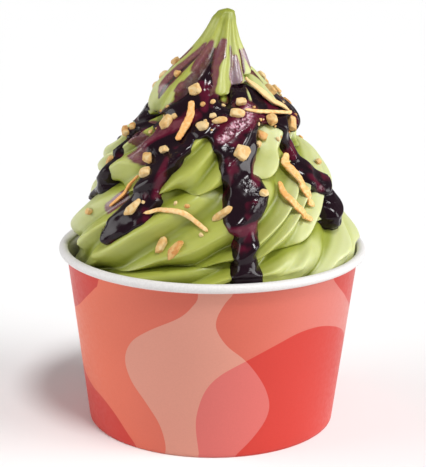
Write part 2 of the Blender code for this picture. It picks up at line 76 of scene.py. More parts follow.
class Finish:
    """A material under construction: its shader, and short calls that add and join nodes."""

    def __init__(self, name, roughness):
        self.material = bpy.data.materials.new(name)
        self.material.use_nodes = True
        self.tree = self.material.node_tree
        self.shader = self.tree.nodes["Principled BSDF"]
        self.fixed("Roughness", roughness)

    def fixed(self, name, value):
        """A number that is the same all over, on the shader's own socket."""
        self.shader.inputs[name].default_value = value

    def join(self, value, socket):
        """Links a value that varies, or writes one that doesn't."""
        if isinstance(value, bpy.types.NodeSocket):
            self.tree.links.new(value, socket)
        elif isinstance(value, tuple) and len(value) == 3 and socket.type == "RGBA":
            socket.default_value = (*value, 1)
        else:
            socket.default_value = value

    def value(self, name):
        """What write_value stored on the piece under this name."""
        node = self.tree.nodes.new("ShaderNodeAttribute")
        node.attribute_name = name
        return node.outputs["Fac"]

    def noise(self, size, detail):
        """Noise on the object's own coordinates, with lumps about size millimetres across."""
        node = self.tree.nodes.new("ShaderNodeTexNoise")
        node.inputs["Scale"].default_value = 1 / (size * MM)
        node.inputs["Detail"].default_value = detail
        place = self.tree.nodes.new("ShaderNodeTexCoord").outputs["Object"]
        self.join(place, node.inputs["Vector"])
        return node.outputs["Fac"]

    def math(self, operation, *values):
        node = self.tree.nodes.new("ShaderNodeMath")
        node.operation = operation
        for value, socket in zip(values, node.inputs):
            self.join(value, socket)
        return node.outputs["Value"]

    def ramp(self, value, low, high, out_low=0.0, out_high=1.0):
        """Maps low to high smoothly on to out_low to out_high."""
        node = self.tree.nodes.new("ShaderNodeMapRange")
        node.interpolation_type = "SMOOTHSTEP"
        for socket, number in zip(node.inputs, (value, low, high, out_low, out_high)):
            self.join(number, socket)
        return node.outputs["Result"]

    def patches(self, size, detail, low, high):
        """Soft noise that runs from low to high."""
        return self.ramp(self.noise(size, detail), 0.3, 0.7, low, high)

    def mix(self, share, first, second, blend="MIX"):
        """A colour that goes from first to second as share goes from 0 to 1."""
        node = self.tree.nodes.new("ShaderNodeMix")
        node.data_type = "RGBA"
        node.blend_type = blend
        sockets = [s for s in node.inputs if s.enabled]
        for value, socket in zip((share, first, second), sockets):
            self.join(value, socket)
        return next(s for s in node.outputs if s.enabled)

    def colours(self, value, *stops):
        """A colour that goes from stop to stop, each given as (value, colour)."""
        (start, colour), *others = stops
        for end, following in others:
            colour = self.mix(self.ramp(value, start, end), colour, following)
            start = end
        return colour

    def colour(self, value):
        self.join(value, self.shader.inputs["Base Color"])

    def roughness(self, value):
        self.join(value, self.shader.inputs["Roughness"])

    def bump(self, height, depth):
        """Raises the surface by depth millimetres where height is 1."""
        node = self.tree.nodes.new("ShaderNodeBump")
        node.inputs["Distance"].default_value = depth * MM
        self.join(height, node.inputs["Height"])
        if self.shader.inputs["Normal"].links:
            self.join(self.shader.inputs["Normal"].links[0].from_socket, node.inputs["Normal"])
        self.join(node.outputs["Normal"], self.shader.inputs["Normal"])

    def put_on(self, piece):
        piece.data.materials.append(self.material)


floor_mesh = bpy.data.meshes.new("floor")
far = FLOOR_HALF_WIDTH * MM
corners = [(-far, -far, 0), (far, -far, 0), (far, far, 0), (-far, far, 0)]
floor_mesh.from_pydata(corners, [], [(0, 1, 2, 3)])
floor = bpy.data.objects.new("floor", floor_mesh)
bpy.context.scene.collection.objects.link(floor)
sweep = Finish("pale_sweep", 0.8)
sweep.colour((0.9, 0.9, 0.9))
sweep.put_on(floor)

room = bpy.data.worlds.new("white_room")
room.use_nodes = True
walls = room.node_tree.nodes["Background"].inputs
walls["Color"].default_value = (1, 1, 1, 1)
walls["Strength"].default_value = ROOM_STRENGTH
bpy.context.scene.world = room
for name, azimuth, elevation, breadth, brightness in LAMPS:
    light = bpy.data.lights.new(name, "SUN")
    light.angle = math.radians(breadth)
    light.energy = brightness * math.pi
    lamp = bpy.data.objects.new(name, light)
    azimuth, elevation = math.radians(azimuth), math.radians(elevation)
    right, front = math.sin(azimuth) * math.cos(elevation), -math.cos(azimuth) * math.cos(elevation)
    way = Vector((right, front, math.sin(elevation)))
    lamp.rotation_euler = way.to_track_quat("Z", "Y").to_euler()
    bpy.context.scene.collection.objects.link(lamp)

pitch = math.radians(CAMERA_PITCH)
camera = bpy.data.objects.new("camera", bpy.data.cameras.new("camera"))
back, up = CAMERA_DISTANCE * math.cos(pitch), CAMERA_DISTANCE * math.sin(pitch)
camera.location = Vector((0, -back, CAMERA_AIM_HEIGHT + up)) * MM
camera.rotation_mode = "QUATERNION"
roll = Quaternion((0, 0, 1), math.radians(CAMERA_ROLL))
camera.rotation_quaternion = (AIM - camera.location).to_track_quat("-Z", "Y") @ roll
camera.data.sensor_width = SENSOR
camera.data.lens = LENS_TO_FRAME * SENSOR
camera.data.clip_start = CLIP_START * MM
bpy.context.scene.collection.objects.link(camera)
bpy.context.scene.camera = camera
bpy.context.scene.view_settings.view_transform = "Standard"


# Cup wall: coated paperboard rolled into a cone, glued at a lapped seam behind, its top curled
# out into a bead and its foot folded in and up. Outside it carries a print of wavy fields.
TURN = 360
CUP_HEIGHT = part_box("cup_wall")[1].z / MM
RIM_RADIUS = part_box("cup_wall")[1].x / MM
BEAD_RADIUS = 1.39
WALL_TOP_RADIUS = 45.8
WALL_FOOT_RADIUS = 38.9
PAPER = 0.45
BASE_PAPER = 0.35
# Air between the paper and what stands in it.
CLEAR = 0.3
HEM_HEIGHT = 5.0
FOLD = 0.3
BEAD_HEIGHT = CUP_HEIGHT - BEAD_RADIUS
# The bead's arc, and how far below its middle the wall's two faces start.
BEAD_ARC = (225, -115)
OUTSIDE_START = 1.4
INSIDE_START = 1.7
WALL_COLUMNS = 300
WALL_ROWS = 50
BEAD_STATIONS = 33
INSIDE_ROWS = 10
SEAM_ANGLE = 96
SEAM_WIDTH = 9
SEAM_RISE = 0.28
# Half the width over which one ink gives way to the next.
INK_EDGE = 0.09
# Outlines of the printed fields as (angle, height). The print is laid down twice round the cup.
PALE_BAND = [
    (-95, 62), (-95, 52.8), (-96.5, 50), (-102, 45.6), (-114, 40.6), (-123, 35.6), (-127, 29.5),
    (-125, 23), (-118, 16.2), (-112.5, 10), (-110, 3), (-110, -6), (-90, -8), (-81, -3), (-79, 0.4),
    (-72, 5.6), (-66.5, 11), (-64.8, 16), (-67, 21.6), (-71.5, 27.2), (-77, 32.3), (-84, 37),
    (-88, 42), (-88, 46), (-85, 50.7), (-82, 54), (-80, 62),
]
RED_BLOB = [
    (-94, -6), (-95, 1), (-96.3, 10), (-95.4, 16), (-92, 22.8), (-86, 27.7), (-76, 31.9),
    (-65, 35.7), (-54, 38.5), (-43, 38.7), (-32, 36.6), (-21, 33.1), (-10, 28), (1, 22.5),
    (14, 17.5), (26, 14.6), (35, 12.8), (43, 9.4), (50, 4.3), (55, 0), (57, -6), (-20, -12),
]
RED_CAP = [
    (-137, 62), (-138, 52.1), (-141, 49.4), (-148, 45.4), (-157, 41), (-168, 37.6), (-178, 36.2),
    (-188, 37.6), (-198, 41.6), (-207, 46.4), (-214, 50.4), (-218, 54), (-220, 62), (-178, 66),
]


def step(low, high, x):
    """0 below low, 1 above high, and 3t^2 - 2t^3 between."""
    t = np.clip((x - low) / (high - low), 0, 1)
    return t * t * (3 - 2 * t)


def half_turn(angle):
    """The same angle between -180 and 180."""
    return np.mod(angle + TURN / 2, TURN) - TURN / 2


def wall_radius(z):
    """Outer radius of the wall: it grows evenly from the foot to the bead."""
    return WALL_FOOT_RADIUS + (WALL_TOP_RADIUS - WALL_FOOT_RADIUS) * z / BEAD_HEIGHT


def smooth_loop(loop, parts=6):
    """Closed curve through a loop of points, each stretch cut in parts on a Catmull-Rom cubic."""
    p = np.array(loop, float)
    before, after, beyond = np.roll(p, 1, 0), np.roll(p, -1, 0), np.roll(p, -2, 0)
    t = (np.arange(parts) / parts)[None, :, None]
    p, before, after, beyond = (a[:, None, :] for a in (p, before, after, beyond))
    cubic = (
        2 * p
        + (after - before) * t
        + (2 * before - 5 * p + 4 * after - beyond) * t**2
        + (3 * p - before - 3 * after + beyond) * t**3
    ) / 2
    return cubic.reshape(-1, 2)


def to_stretch(x, y, bx, by):
    """How far along the stretch from the origin to (bx, by) a point lies, and how far off it."""
    t = np.clip((x * bx + y * by) / (bx * bx + by * by + 1e-9), 0, 1)
    return t, np.hypot(x - t * bx, y - t * by)


def inside_loop(loop, angle, z):
    """Distance in from a printed outline, negative outside, on the wall rolled out flat.

    It is the distance to the nearest stretch of the loop, signed by how often the loop goes round.
    """
    best = np.full(angle.shape, 1e9)
    winding = np.zeros(angle.shape)
    ends = smooth_loop(loop)
    middle = ends[:, 0].mean()
    angle = np.mod(angle - middle + 90, 180) + middle - 90
    arc = math.radians(1) * (WALL_TOP_RADIUS + WALL_FOOT_RADIUS) / 2
    for (a0, z0), (a1, z1) in zip(ends, np.roll(ends, -1, 0)):
        x, y = (angle - a0) * arc, z - z0
        bx, by = (a1 - a0) * arc, z1 - z0
        best = np.minimum(best, to_stretch(x, y, bx, by)[1])
        upward = (z0 <= z) & (z < z1)
        downward = (z1 <= z) & (z < z0)
        left = bx * y - by * x
        winding += np.where(upward & (left > 0), 1, 0) - np.where(downward & (left < 0), 1, 0)
    return np.where(winding != 0, best, -best)


def together(*parts):
    """Coordinates as one array of points, or numbers of points as one array of faces."""
    return np.stack(np.broadcast_arrays(*parts), -1)


def grid_faces(rows, columns, close_rows=False, close_columns=False):
    """Quads of a grid of points numbered row by row, wrapped round where it closes."""
    i = np.arange(rows if close_rows else rows - 1)[:, None]
    j = np.arange(columns if close_columns else columns - 1)[None, :]
    down, right = (i + 1) % rows, (j + 1) % columns
    i, down = i * columns, down * columns
    return together(i + j, i + right, down + right, down + j).reshape(-1, 4)


def merge_points(mesh, distance, turn_outward=False):
    """Makes one of points that lie on one another, as at a pole or a tip."""
    body = bmesh.new()
    body.from_mesh(mesh)
    bmesh.ops.remove_doubles(body, verts=body.verts, dist=distance * MM)
    if turn_outward:
        bmesh.ops.recalc_face_normals(body, faces=body.faces)
    body.to_mesh(mesh)
    body.free()


def new_piece(name, points, faces, nodes, merge=0):
    """Piece of the object from points in millimetres: closed, smooth, facing outward."""
    mesh = bpy.data.meshes.new(name)
    mesh.from_pydata((np.asarray(points) * MM).tolist(), [], [list(face) for face in faces])
    if merge:
        merge_points(mesh, merge, turn_outward=True)
    mesh.shade_smooth()
    piece = bpy.data.objects.new(name, mesh)
    bpy.context.scene.collection.objects.link(piece)
    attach(piece, "root")
    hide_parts(*nodes)
    return piece


def write_value(piece, name, values):
    """Stores one number for each point of a piece, for its finish to read."""
    layer = piece.data.attributes.new(name, "FLOAT", "POINT")
    layer.data.foreach_set("value", np.asarray(values, np.float32))


def cup_profile():
    """Section of the paper as a closed loop of (radius, height), and where its print starts.

    It runs round the bead from the inside over the top, down the outside, in along the folded hem
    and up the inside.
    """
    turn = np.radians(np.linspace(*BEAD_ARC, BEAD_STATIONS))
    radius = RIM_RADIUS - BEAD_RADIUS + BEAD_RADIUS * np.cos(turn)
    bead = together(radius, BEAD_HEIGHT + BEAD_RADIUS * np.sin(turn))
    z = np.linspace(BEAD_HEIGHT - OUTSIDE_START, FOLD, WALL_ROWS)
    outside = together(wall_radius(z), z)
    slot = 2 * CLEAR + BASE_PAPER
    hem_out = PAPER + slot
    hem_in = hem_out + PAPER
    hem = [
        (wall_radius(0) - FOLD, 0),
        (wall_radius(0) - hem_in + FOLD, 0),
        (wall_radius(FOLD) - hem_in, FOLD),
        (wall_radius(HEM_HEIGHT) - hem_in, HEM_HEIGHT),
        (wall_radius(HEM_HEIGHT) - hem_out, HEM_HEIGHT),
        (wall_radius(PAPER) - hem_out, PAPER),
        (wall_radius(PAPER) - PAPER, PAPER),
    ]
    z = np.linspace(HEM_HEIGHT + 1, BEAD_HEIGHT - INSIDE_START, INSIDE_ROWS)
    inside = together(wall_radius(z) - PAPER, z)
    return np.vstack([bead, outside, hem, inside]), len(bead)


section, print_start = cup_profile()
print_end = print_start + WALL_ROWS
turn = 2 * np.pi * np.arange(WALL_COLUMNS) / WALL_COLUMNS
# The lap at the seam stands up at its edge and dies away on its other side.
lap = half_turn(np.degrees(turn) - SEAM_ANGLE) / SEAM_WIDTH
raised = SEAM_RISE * step(-0.5, -0.47, lap) * (1 - step(0.3, 0.5, lap))
on_wall = np.zeros(len(section))
on_wall[print_start:print_end] = 1
radius = section[:, :1] + on_wall[:, None] * raised[None, :]
points = together(radius * np.cos(turn), radius * np.sin(turn), section[:, 1:]).reshape(-1, 3)
faces = grid_faces(len(section), WALL_COLUMNS, True, True)[:, ::-1]
cup = new_piece("cup_wall_paper", points, faces, ["cup_wall"])
angle = np.degrees(np.arctan2(points[:, 1], points[:, 0]))
for name, loop in (("pale_band", PALE_BAND), ("red_blob", RED_BLOB), ("red_cap", RED_CAP)):
    write_value(cup, name, inside_loop(loop, angle, points[:, 2]))
write_value(cup, "toward_right", 0.5 + 0.5 * np.cos(np.radians(angle)))
# Painted shade: 1 in front, where the salmon is darkened to stand for the dimmer light between the
# side lamps.
write_value(cup, "front_shade", np.exp(-(((angle + 88) / 36) ** 2)))

ink = Finish("printed_paper", 0.38)
band, blob, cap = (
    ink.ramp(ink.value(name), -INK_EDGE, INK_EDGE) for name in ("pale_band", "red_blob", "red_cap")
)
# Salmon, more orange on the left and pinker on the right, with painted shade that darkens it in
# front, and the pale band over it; the red fields are rose where they cross the band.
orange, pink, front_shaded_salmon = (0.75, 0.158, 0.078), (0.63, 0.185, 0.158), (0.60, 0.122, 0.078)
pale, red, rose = (0.65, 0.275, 0.203), (0.56, 0.040, 0.027), (0.63, 0.140, 0.122)
salmon = ink.mix(ink.value("toward_right"), orange, pink)
salmon = ink.mix(ink.value("front_shade"), salmon, front_shaded_salmon)
in_red = ink.math("MAXIMUM", blob, cap)
printed = ink.mix(in_red, ink.mix(band, salmon, pale), ink.mix(band, red, rose))
# Faint random specks and fading darken the print a little here and there.
speck, fade = ink.patches(0.5, 3, 0.97, 1), ink.patches(30, 1, 0.96, 1)
mottle = ink.mix(ink.math("MULTIPLY", speck, fade), (0, 0, 0), (1, 1, 1))
ink.colour(ink.mix(1, printed, mottle, "MULTIPLY"))
ink.roughness(ink.patches(1.5, 3, 0.34, 0.44))
ink.bump(ink.noise(0.35, 3), 0.012)
ink.fixed("Specular IOR Level", 0.3)
ink.put_on(cup)
board = Finish("white_board", 0.5)
board.colour(board.mix(board.patches(0.6, 4, 0, 1), (0.66, 0.64, 0.63), (0.72, 0.70, 0.69)))
board.roughness(board.patches(2, 3, 0.42, 0.55))
board.bump(board.noise(0.3, 3), 0.015)
board.put_on(cup)
row_of_face = np.arange(len(faces)) // WALL_COLUMNS
bare = (row_of_face < print_start - 1) | (row_of_face >= print_end)
cup.data.polygons.foreach_set("material_index", bare.astype(np.int32))


# Cup base: a white paper disc whose edge is turned down and glued into the hem at the foot. Its
# solid has the right shape and stays.
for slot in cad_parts["cup_base"].material_slots:
    slot.material = board.material


# Swirl: green soft serve piped from a star nozzle. One fluted rope winds up in a spiral, each turn
# sagging over the one below, and is drawn out to a tip that leans to the right.
TIP_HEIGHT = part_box("soft_serve")[1].z / MM
BASE_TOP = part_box("cup_base")[1].z / MM
ROPE_START = -540
ROPE_END = 900
COLUMN_ANGLE = 0.625
ROWS = 42
# How far round the pile a flute climbs from one groove to the next.
SLANT = 60
SHOULDER_ROUND = 1.9
# How far up its section the rope sags most, and how much of that sag reaches its creases.
LIP_PLACE = 0.13
CREASE_SAG = 0.35
# How far an open groove stands above its line, and how much shallower it is at a crest.
GROOVE_RISE = 1.2
CREST_SHALLOWER = 0.3
# Unwound angles over which the groove opens, and over which it closes into the cone.
GROOVE_OPENS = (-180, -135)
GROOVE_CLOSES = (665, 740)
FLUTE_DEPTH = 6.0
FLUTE_ROUND = 1.8
# How far under and over the cone's base the rope gives way to it, and how far towards its sides,
# as a cosine, the pile starts to be flatter and is flattest.
CONE_BLEND = (-0.5, 2)
ON_SIDE = (0.2, 0.98)
# The relief that lies on the pile's outline, for the rope and for the cone.
FLUTE_MIDDLE = 0.62
CONE_FLUTE_MIDDLE = 0.66
# The filling stays this far in at the rim and widens by RIM_FLARE above it.
RIM_ROOM_RADIUS = 44.3
RIM_ROOM_HEIGHT = 57.6
RIM_FLARE = 1.2
# A dent at the rim on the left: its angle, height, depth, breadth in degrees and half height.
DENT = (-172, 57, 3.5, 20, 5)
FILLING_LEVELS = (38, 30, 22, 14)
# Points of the mesh closer than this are one.
MERGE = 0.002
# Height of the groove under the rope, along the rope's unwound angle.
GROOVE = [
    (-540, 44), (-360, 45), (-220, 49), (-180, 51), (-150, 53.2), (-116, 57), (-90, 59.5),
    (-64, 62.3), (-40, 66.3), (0, 71.5), (90, 75.5), (180, 78), (246, 79.8), (272, 81.3),
    (296, 84.3), (320, 85.9), (340, 88), (360, 89.5), (450, 93), (540, 95.6), (619, 102),
    (676, 108), (720, 111.5), (800, 119), (900, 127),
]
# Radius of the whole pile at each height.
PILE = [
    (40, 42.2), (50, 43.6), (57, 44.9), (60.5, 44.6), (66.3, 42.3), (74, 38.9), (81.7, 35.6),
    (89.4, 30.4), (97, 24.6), (102.6, 20.6), (106.3, 16.8), (110, 13.5), (113.8, 10.4),
    (117.5, 7.8), (121, 5.7), (124.8, 4.1), (128, 2.9), (129.2, 1.8), (TIP_HEIGHT, 0),
]
# How far the pile's middle stands to the right at each height.
LEAN = [(40, 0), (98, 0), (106, -1), (112, -0.6), (116, 0.6), (122, 1.9), (128, 3.2), (130, 4)]
# Height at which the drawn-out cone begins, by angle from the left round the front.
CONE_BASE = [(0, 95.8), (36, 98.8), (79, 102), (136, 108), (170, 110.5), (240, 110), (360, 95.8)]
# How much flatter the pile is on its right and on its left at each height.
FLATTER_RIGHT = [
    (57, 0.3), (60, 1), (64, 2.2), (68, 2.6), (71.5, 3), (75, 3.3), (79, 3.1), (82.6, 3.5),
    (86.4, 3.3), (88.2, 3.8), (90, 5), (92, 4), (94, 2.6), (96, 1), (100, 0.6), (106, 0),
]
FLATTER_LEFT = [
    (86, 0), (88, 1.3), (90, 1.8), (92, 0.9), (94, 0.6), (96, 2), (99.5, 2.9), (103, 2), (107, 0),
]
# Depth of the groove, how full the lip above it is, and how far it sags, along the unwound angle.
GROOVE_DEPTH = [
    (-540, 5), (-180, 6), (-90, 7.4), (-40, 7.2), (60, 6), (200, 7.5), (300, 9), (324, 12.5),
    (345, 7), (500, 6),
]
LIP_ROUND = [(-150, 3.2), (-115, 1.5), (-85, 1.5), (-60, 2.4), (-40, 3.2)]
LIP_SAG = [(-540, 2), (-180, 2.6), (150, 3), (235, 4.2), (320, 4.4), (380, 3), (700, 2.6)]


def evenly(first, last):
    """Flutes 25 degrees apart, each a crest and a crease."""
    return [knot for angle in range(first, last, 25) for knot in ((angle, 1), (angle + 10, 0))]


# The rope's flutes as (unwound angle at the groove, relief), 1 on a crest and 0 in a deep crease:
# even behind, uneven in front.
FLUTES = [
    *evenly(-640, -540), (-530, 1), (-500, 0), (-490, 1), (-485, 0.1), (-475, 1), (-465, 0.7),
    (-460, 1), (-435, 0), (-420, 1), (-405, 0), *evenly(-390, -240), (-240, 1), (-225, 0),
    (-200, 1), (-185, 0.35), (-175, 1), (-165, 0.2), (-155, 1), (-143, 0), (-130, 1), (-112, 0),
    (-97, 0.9), (-88, 0.3), (-78, 1), (-65, 0.3), (-50, 1), (-40, 0), *evenly(-25, 140), (150, 1),
    (160, 0), (170, 1), (180, 0.2), (190, 1), (210, 0.1), (225, 1), (230, 0.3), (240, 1),
    (250, 0.1), (260, 1), (275, 0), (298, 1), (315, 0), (324, 1), (336, 0), *evenly(350, 790),
]
# How far each flute bows sideways on its way up, by its unwound angle at the groove.
FLUTE_BOW = [(-175, 0), (-155, 3), (-140, 12), (-120, 18), (-100, 14), (-70, 0)]
# The cone's wide flutes as (angle at the height below, relief).
CONE_FLUTES = [
    (-205, 1), (-185, 0.2), (-168, 1), (-138, 0.45), (-128, 1), (-103, 0), (-77, 1), (-62, 0.3),
    (-48, 0.95), (-29, 0.35), (-12, 1), (8, 0.2), (30, 1), (52, 0.2), (75, 1), (95, 0.2), (115, 1),
    (135, 0.2), (155, 1), (175, 0.2), (192, 1), (222, 0.45),
]
CONE_FLUTE_HEIGHT = 110
CONE_FLUTE_ROUND = 5
# How strong the rope's flutes are along it, and how deep the cone's are at each height.
FLUTE_STRENGTH = [(-540, 0), (-500, 1), (0, 1), (700, 0.7)]
CONE_FLUTE_DEPTH = [(96, 0), (100, 3.4), (106, 4.4), (112, 3.6), (120, 1.8), (TIP_HEIGHT, 0)]


def through(knots, x):
    """Smooth curve through (x, y) knots by cubic Hermite pieces, flat beyond their ends."""
    knot_x, knot_y = np.array(knots, float).T
    slope = np.gradient(knot_y, knot_x)
    i = np.clip(np.searchsorted(knot_x, x) - 1, 0, len(knot_x) - 2)
    span = knot_x[i + 1] - knot_x[i]
    t = np.clip((x - knot_x[i]) / span, 0, 1)
    start = (1 + 2 * t) * (1 - t) ** 2 * knot_y[i] + t * (1 - t) ** 2 * span * slope[i]
    end = t * t * (3 - 2 * t) * knot_y[i + 1] + t * t * (t - 1) * span * slope[i + 1]
    return start + end


def straight(knots, x):
    """Straight lines through (x, y) knots."""
    return np.interp(x, *np.array(knots, float).T)


def relief(flutes, angle, rounding):
    """Straight faces between crests and creases, each rounded over a few degrees."""
    taps = [straight(flutes, angle + rounding * k) for k in (-1, -0.33, 0.33, 1)]
    return sum(taps) / len(taps)


def crest(first):
    """Relief of the flute that leaves the groove at an unwound angle."""
    return relief(FLUTES, first, FLUTE_ROUND)


def bow(first, w):
    """How far the flute that leaves the groove at an angle has gone round, w of the way up."""
    return SLANT * w + 4 * w * (1 - w) * through(FLUTE_BOW, first)


def flute_start(phi, w):
    """Unwound angle at which the flute that passes a place left the groove, by repeated guesses."""
    first = phi - SLANT * w
    for _ in range(4):
        first = phi - bow(first, w)
    return first


def groove(phi):
    """Height of the groove, which ends at the tip."""
    return np.where(phi > ROPE_END - COLUMN_ANGLE / 2, TIP_HEIGHT, through(GROOVE, phi))


def groove_open(phi):
    """1 where the groove is open, 0 before the rope laps itself and where it runs into the cone."""
    return step(*GROOVE_OPENS, phi) * (1 - step(*GROOVE_CLOSES, phi))


def groove_at(phi):
    """How open the groove is, its height and depth, and the relief of the flute that leaves it."""
    opened, flute = groove_open(phi), crest(phi)
    depth = opened * (1 - CREST_SHALLOWER * flute) * through(GROOVE_DEPTH, phi)
    return opened, groove(phi) + GROOVE_RISE * opened, depth, flute


def rope_point(phi, w):
    """Point of the swirl at unwound angle phi, w of the way from the groove below to the one above.

    The section bulges as a superellipse between two deep grooves, its lower lip sags over the
    groove under it, and slanting flutes cross it. Above the last groove it gives way to the cone,
    which has wider flutes of its own.
    """
    phi = np.maximum(phi, ROPE_START)
    opened, z_low, depth_low, flute = groove_at(phi)
    _, z_high, depth_high, _ = groove_at(phi + TURN)
    sag = opened * through(LIP_SAG, phi) * (CREASE_SAG + (1 - CREASE_SAG) * flute)
    z = z_low + w * (z_high - z_low) - sag * w / LIP_PLACE * np.exp(1 - w / LIP_PLACE) * (1 - w)
    z = np.minimum(z, TIP_HEIGHT)

    depth = np.where(w < 0.5, depth_low, depth_high)
    round_off = np.where(w < 0.5, through(LIP_ROUND, phi), SHOULDER_ROUND)
    bulge = (1 - np.abs(2 * w - 1) ** round_off) ** (1 / round_off)
    radius = through(PILE, z) - depth * (1 - bulge)

    cone = step(*CONE_BLEND, z - through(CONE_BASE, np.mod(phi - 180, TURN)))
    # The flutes die away at both grooves.
    ends = np.clip(np.sin(np.pi * w), 0, 1) ** 0.35
    flute = FLUTE_DEPTH * straight(FLUTE_STRENGTH, phi) * ends * (1 - cone)
    radius = radius + flute * (crest(flute_start(phi, w)) - FLUTE_MIDDLE)

    # The cone's flutes lean by 0.25 to 1.15 degrees a millimetre, most on the left.
    around = half_turn(phi)
    lean = 0.7 - 0.45 * np.cos(np.radians(around - 20))
    wide = relief(CONE_FLUTES, around - lean * (z - CONE_FLUTE_HEIGHT), CONE_FLUTE_ROUND)
    radius = radius + straight(CONE_FLUTE_DEPTH, z) * cone * (wide - CONE_FLUTE_MIDDLE)
    toward_right = np.cos(np.radians(phi))
    radius = radius - through(FLATTER_RIGHT, z) * step(*ON_SIDE, toward_right)
    radius = radius - through(FLATTER_LEFT, z) * step(*ON_SIDE, -toward_right)

    room = np.minimum(RIM_ROOM_RADIUS, wall_radius(z) - PAPER - CLEAR)
    flared = RIM_ROOM_RADIUS + RIM_FLARE * (z - RIM_ROOM_HEIGHT)
    radius = np.minimum(radius, np.where(z < RIM_ROOM_HEIGHT, room, flared))
    at_angle, at_height, dent, breadth, tall = DENT
    beside = half_turn(phi - at_angle) / breadth
    radius = radius - dent * np.exp(-(beside**2) - ((z - at_height) / tall) ** 2)
    return around_pile(phi, z, np.maximum(radius, 0))


def around_pile(angle, z, radius):
    """Points at an angle, height and radius round the pile's leaning middle."""
    turn = np.radians(angle)
    x = radius * np.cos(turn) + through(LEAN, z)
    return together(x, radius * np.sin(turn), z)


def rope_rows(count):
    """Places across the rope, closer together at both grooves."""
    rows = np.arange(count + 1) / count
    return 0.5 * rows + 0.25 * (1 - np.cos(np.pi * rows))


start = np.arange(ROPE_START - SLANT, ROPE_END + COLUMN_ANGLE, COLUMN_ANGLE)[:, None]
w = rope_rows(ROWS)[None, :]
points = rope_point(start + bow(start, w), w).reshape(-1, 3)
index = np.arange(len(points)).reshape(len(start), ROWS + 1)
faces = [grid_faces(len(start), ROWS + 1)[:, ::-1]]
# Inside the cup the filling narrows with the wall and ends flat above the base.
count = round(TURN / COLUMN_ANGLE)
first = round(SLANT / COLUMN_ANGLE)
ring = index[first : first + count, 0]
rope_end = [ring[-1], *index[0, ::-1]]
turn = np.radians(start[first : first + count, 0])
for z in (*FILLING_LEVELS, BASE_TOP + CLEAR):
    radius = wall_radius(z) - PAPER - CLEAR
    lower = len(points) + np.arange(count)
    points = np.vstack([points, together(radius * np.cos(turn), radius * np.sin(turn), z)])
    faces.append(together(lower, np.roll(lower, -1), np.roll(ring, -1), ring))
    ring = lower
faces = [*np.vstack(faces).tolist(), ring[::-1].tolist(), rope_end]
swirl = new_piece("swirl", points, faces, ["soft_serve"], MERGE)


# Berry sauce: a dark glossy pour over the shoulders of the swirl. It pools in the cone's valleys,
# bridges the grooves and runs down in streams with round ends; thin films of it stain the crests.
MAP_LOW = 54.0
MAP_HIGH = 124.0
MAP_STEP = 0.36
MAP_ANGLE = 0.5
ROPE_SAMPLES = 420
# Distance from its edge over which the sauce rounds up to its full thickness.
EDGE_ROUND = 2.0
# How softly strokes join, how far past its outline the sheet goes, and how deep it is in the ice.
STROKE_JOIN = 0.7
EDGE_REACH = 0.35
SHEET_DEPTH = 1.2
# Distance from its edge over which it fills the creases, and how far it lies over their crests.
FILL_REACH = 2.2
OVER_CREST = 0.15
# Past its outline the sheet dips into the ice by this much over this distance.
DIP = 0.7
DIP_REACH = 0.4
# In the cone's valleys the sauce stands this far under the pile's outline, above this height.
POOL_UNDER = 0.75
POOL_FOOT = 99
# The sauce clears the bead by keeping inside this radius at the rim, by a soft minimum.
SAUCE_ROOM_RADIUS = 44.9
SAUCE_ROOM_SOFT = 0.3
# Streams as (angle, height, half width, thickness).
STREAMS = [
    [(-163, 93, 2, 1.2), (-159, 86, 1.8, 1.2), (-157, 81.5, 2.2, 1.5), (-160, 77.6, 3.2, 1.6),
     (-166, 75.4, 2.2, 1.8), (-172, 73.4, 1.6, 2), (-176, 71.6, 1.5, 2.3)],
    [(-118, 97, 6, 1.4), (-119.5, 94, 8, 1.5), (-120.5, 90.4, 7.4, 1.6), (-122, 86.9, 5.8, 1.6),
     (-123, 83.4, 4.4, 1.7), (-124.5, 79.4, 4.8, 1.8), (-125.5, 76.4, 5.6, 1.9),
     (-128.5, 73.7, 5.4, 2), (-132, 70.4, 4, 2.2), (-136.5, 66.4, 3.2, 2.8)],
    [(-75, 96, 7.5, 1.5), (-75.5, 93.4, 7.6, 1.6), (-77.4, 89.2, 6, 1.7), (-79, 85.1, 5.2, 1.8),
     (-77.5, 82, 5.6, 1.9), (-75.5, 79.4, 6.9, 1.9), (-77.5, 76.7, 5.9, 1.9), (-79, 73.8, 5.3, 1.9),
     (-77.5, 70.6, 4.2, 2), (-77.5, 67.2, 3.7, 2.1), (-77.6, 62, 3.9, 2), (-77, 57, 4.8, 1.6)],
    [(-34, 99, 3.4, 1.5), (-32, 95, 3.6, 1.5), (-31, 91, 3.4, 1.6), (-29.5, 88, 3.4, 1.6),
     (-28.5, 85.5, 3.6, 1.7), (-27, 82.5, 4.6, 1.8), (-25, 80.2, 4.6, 1.9), (-19, 77, 3.2, 2.2),
     (-17.5, 74.8, 2.8, 2.8), (-20, 72.5, 3.6, 3.6), (-23, 70.5, 4.4, 4.4), (-23.5, 69, 4.2, 4.4),
     (-23, 67.8, 3.2, 3.4)],
    [(-33, 83, 3.2, 1.6), (-33, 79.6, 2.6, 1.9)],
    [(35, 97, 5, 1.5), (38, 90, 3.6, 1.6), (44, 82, 3.6, 1.7), (50, 76, 2.7, 2), (53, 73, 3, 2.4)],
    [(95, 97, 7, 1.5), (100, 90, 5.5, 1.6), (103, 82, 4.6, 1.8), (108, 75, 3.6, 1.9),
     (112, 68, 3, 2.1), (114, 65, 3.4, 2.4)],
    [(150, 96, 5, 1.5), (148, 88, 4, 1.6), (152, 80, 3.2, 1.9), (157, 76, 3.2, 2.3)],
]
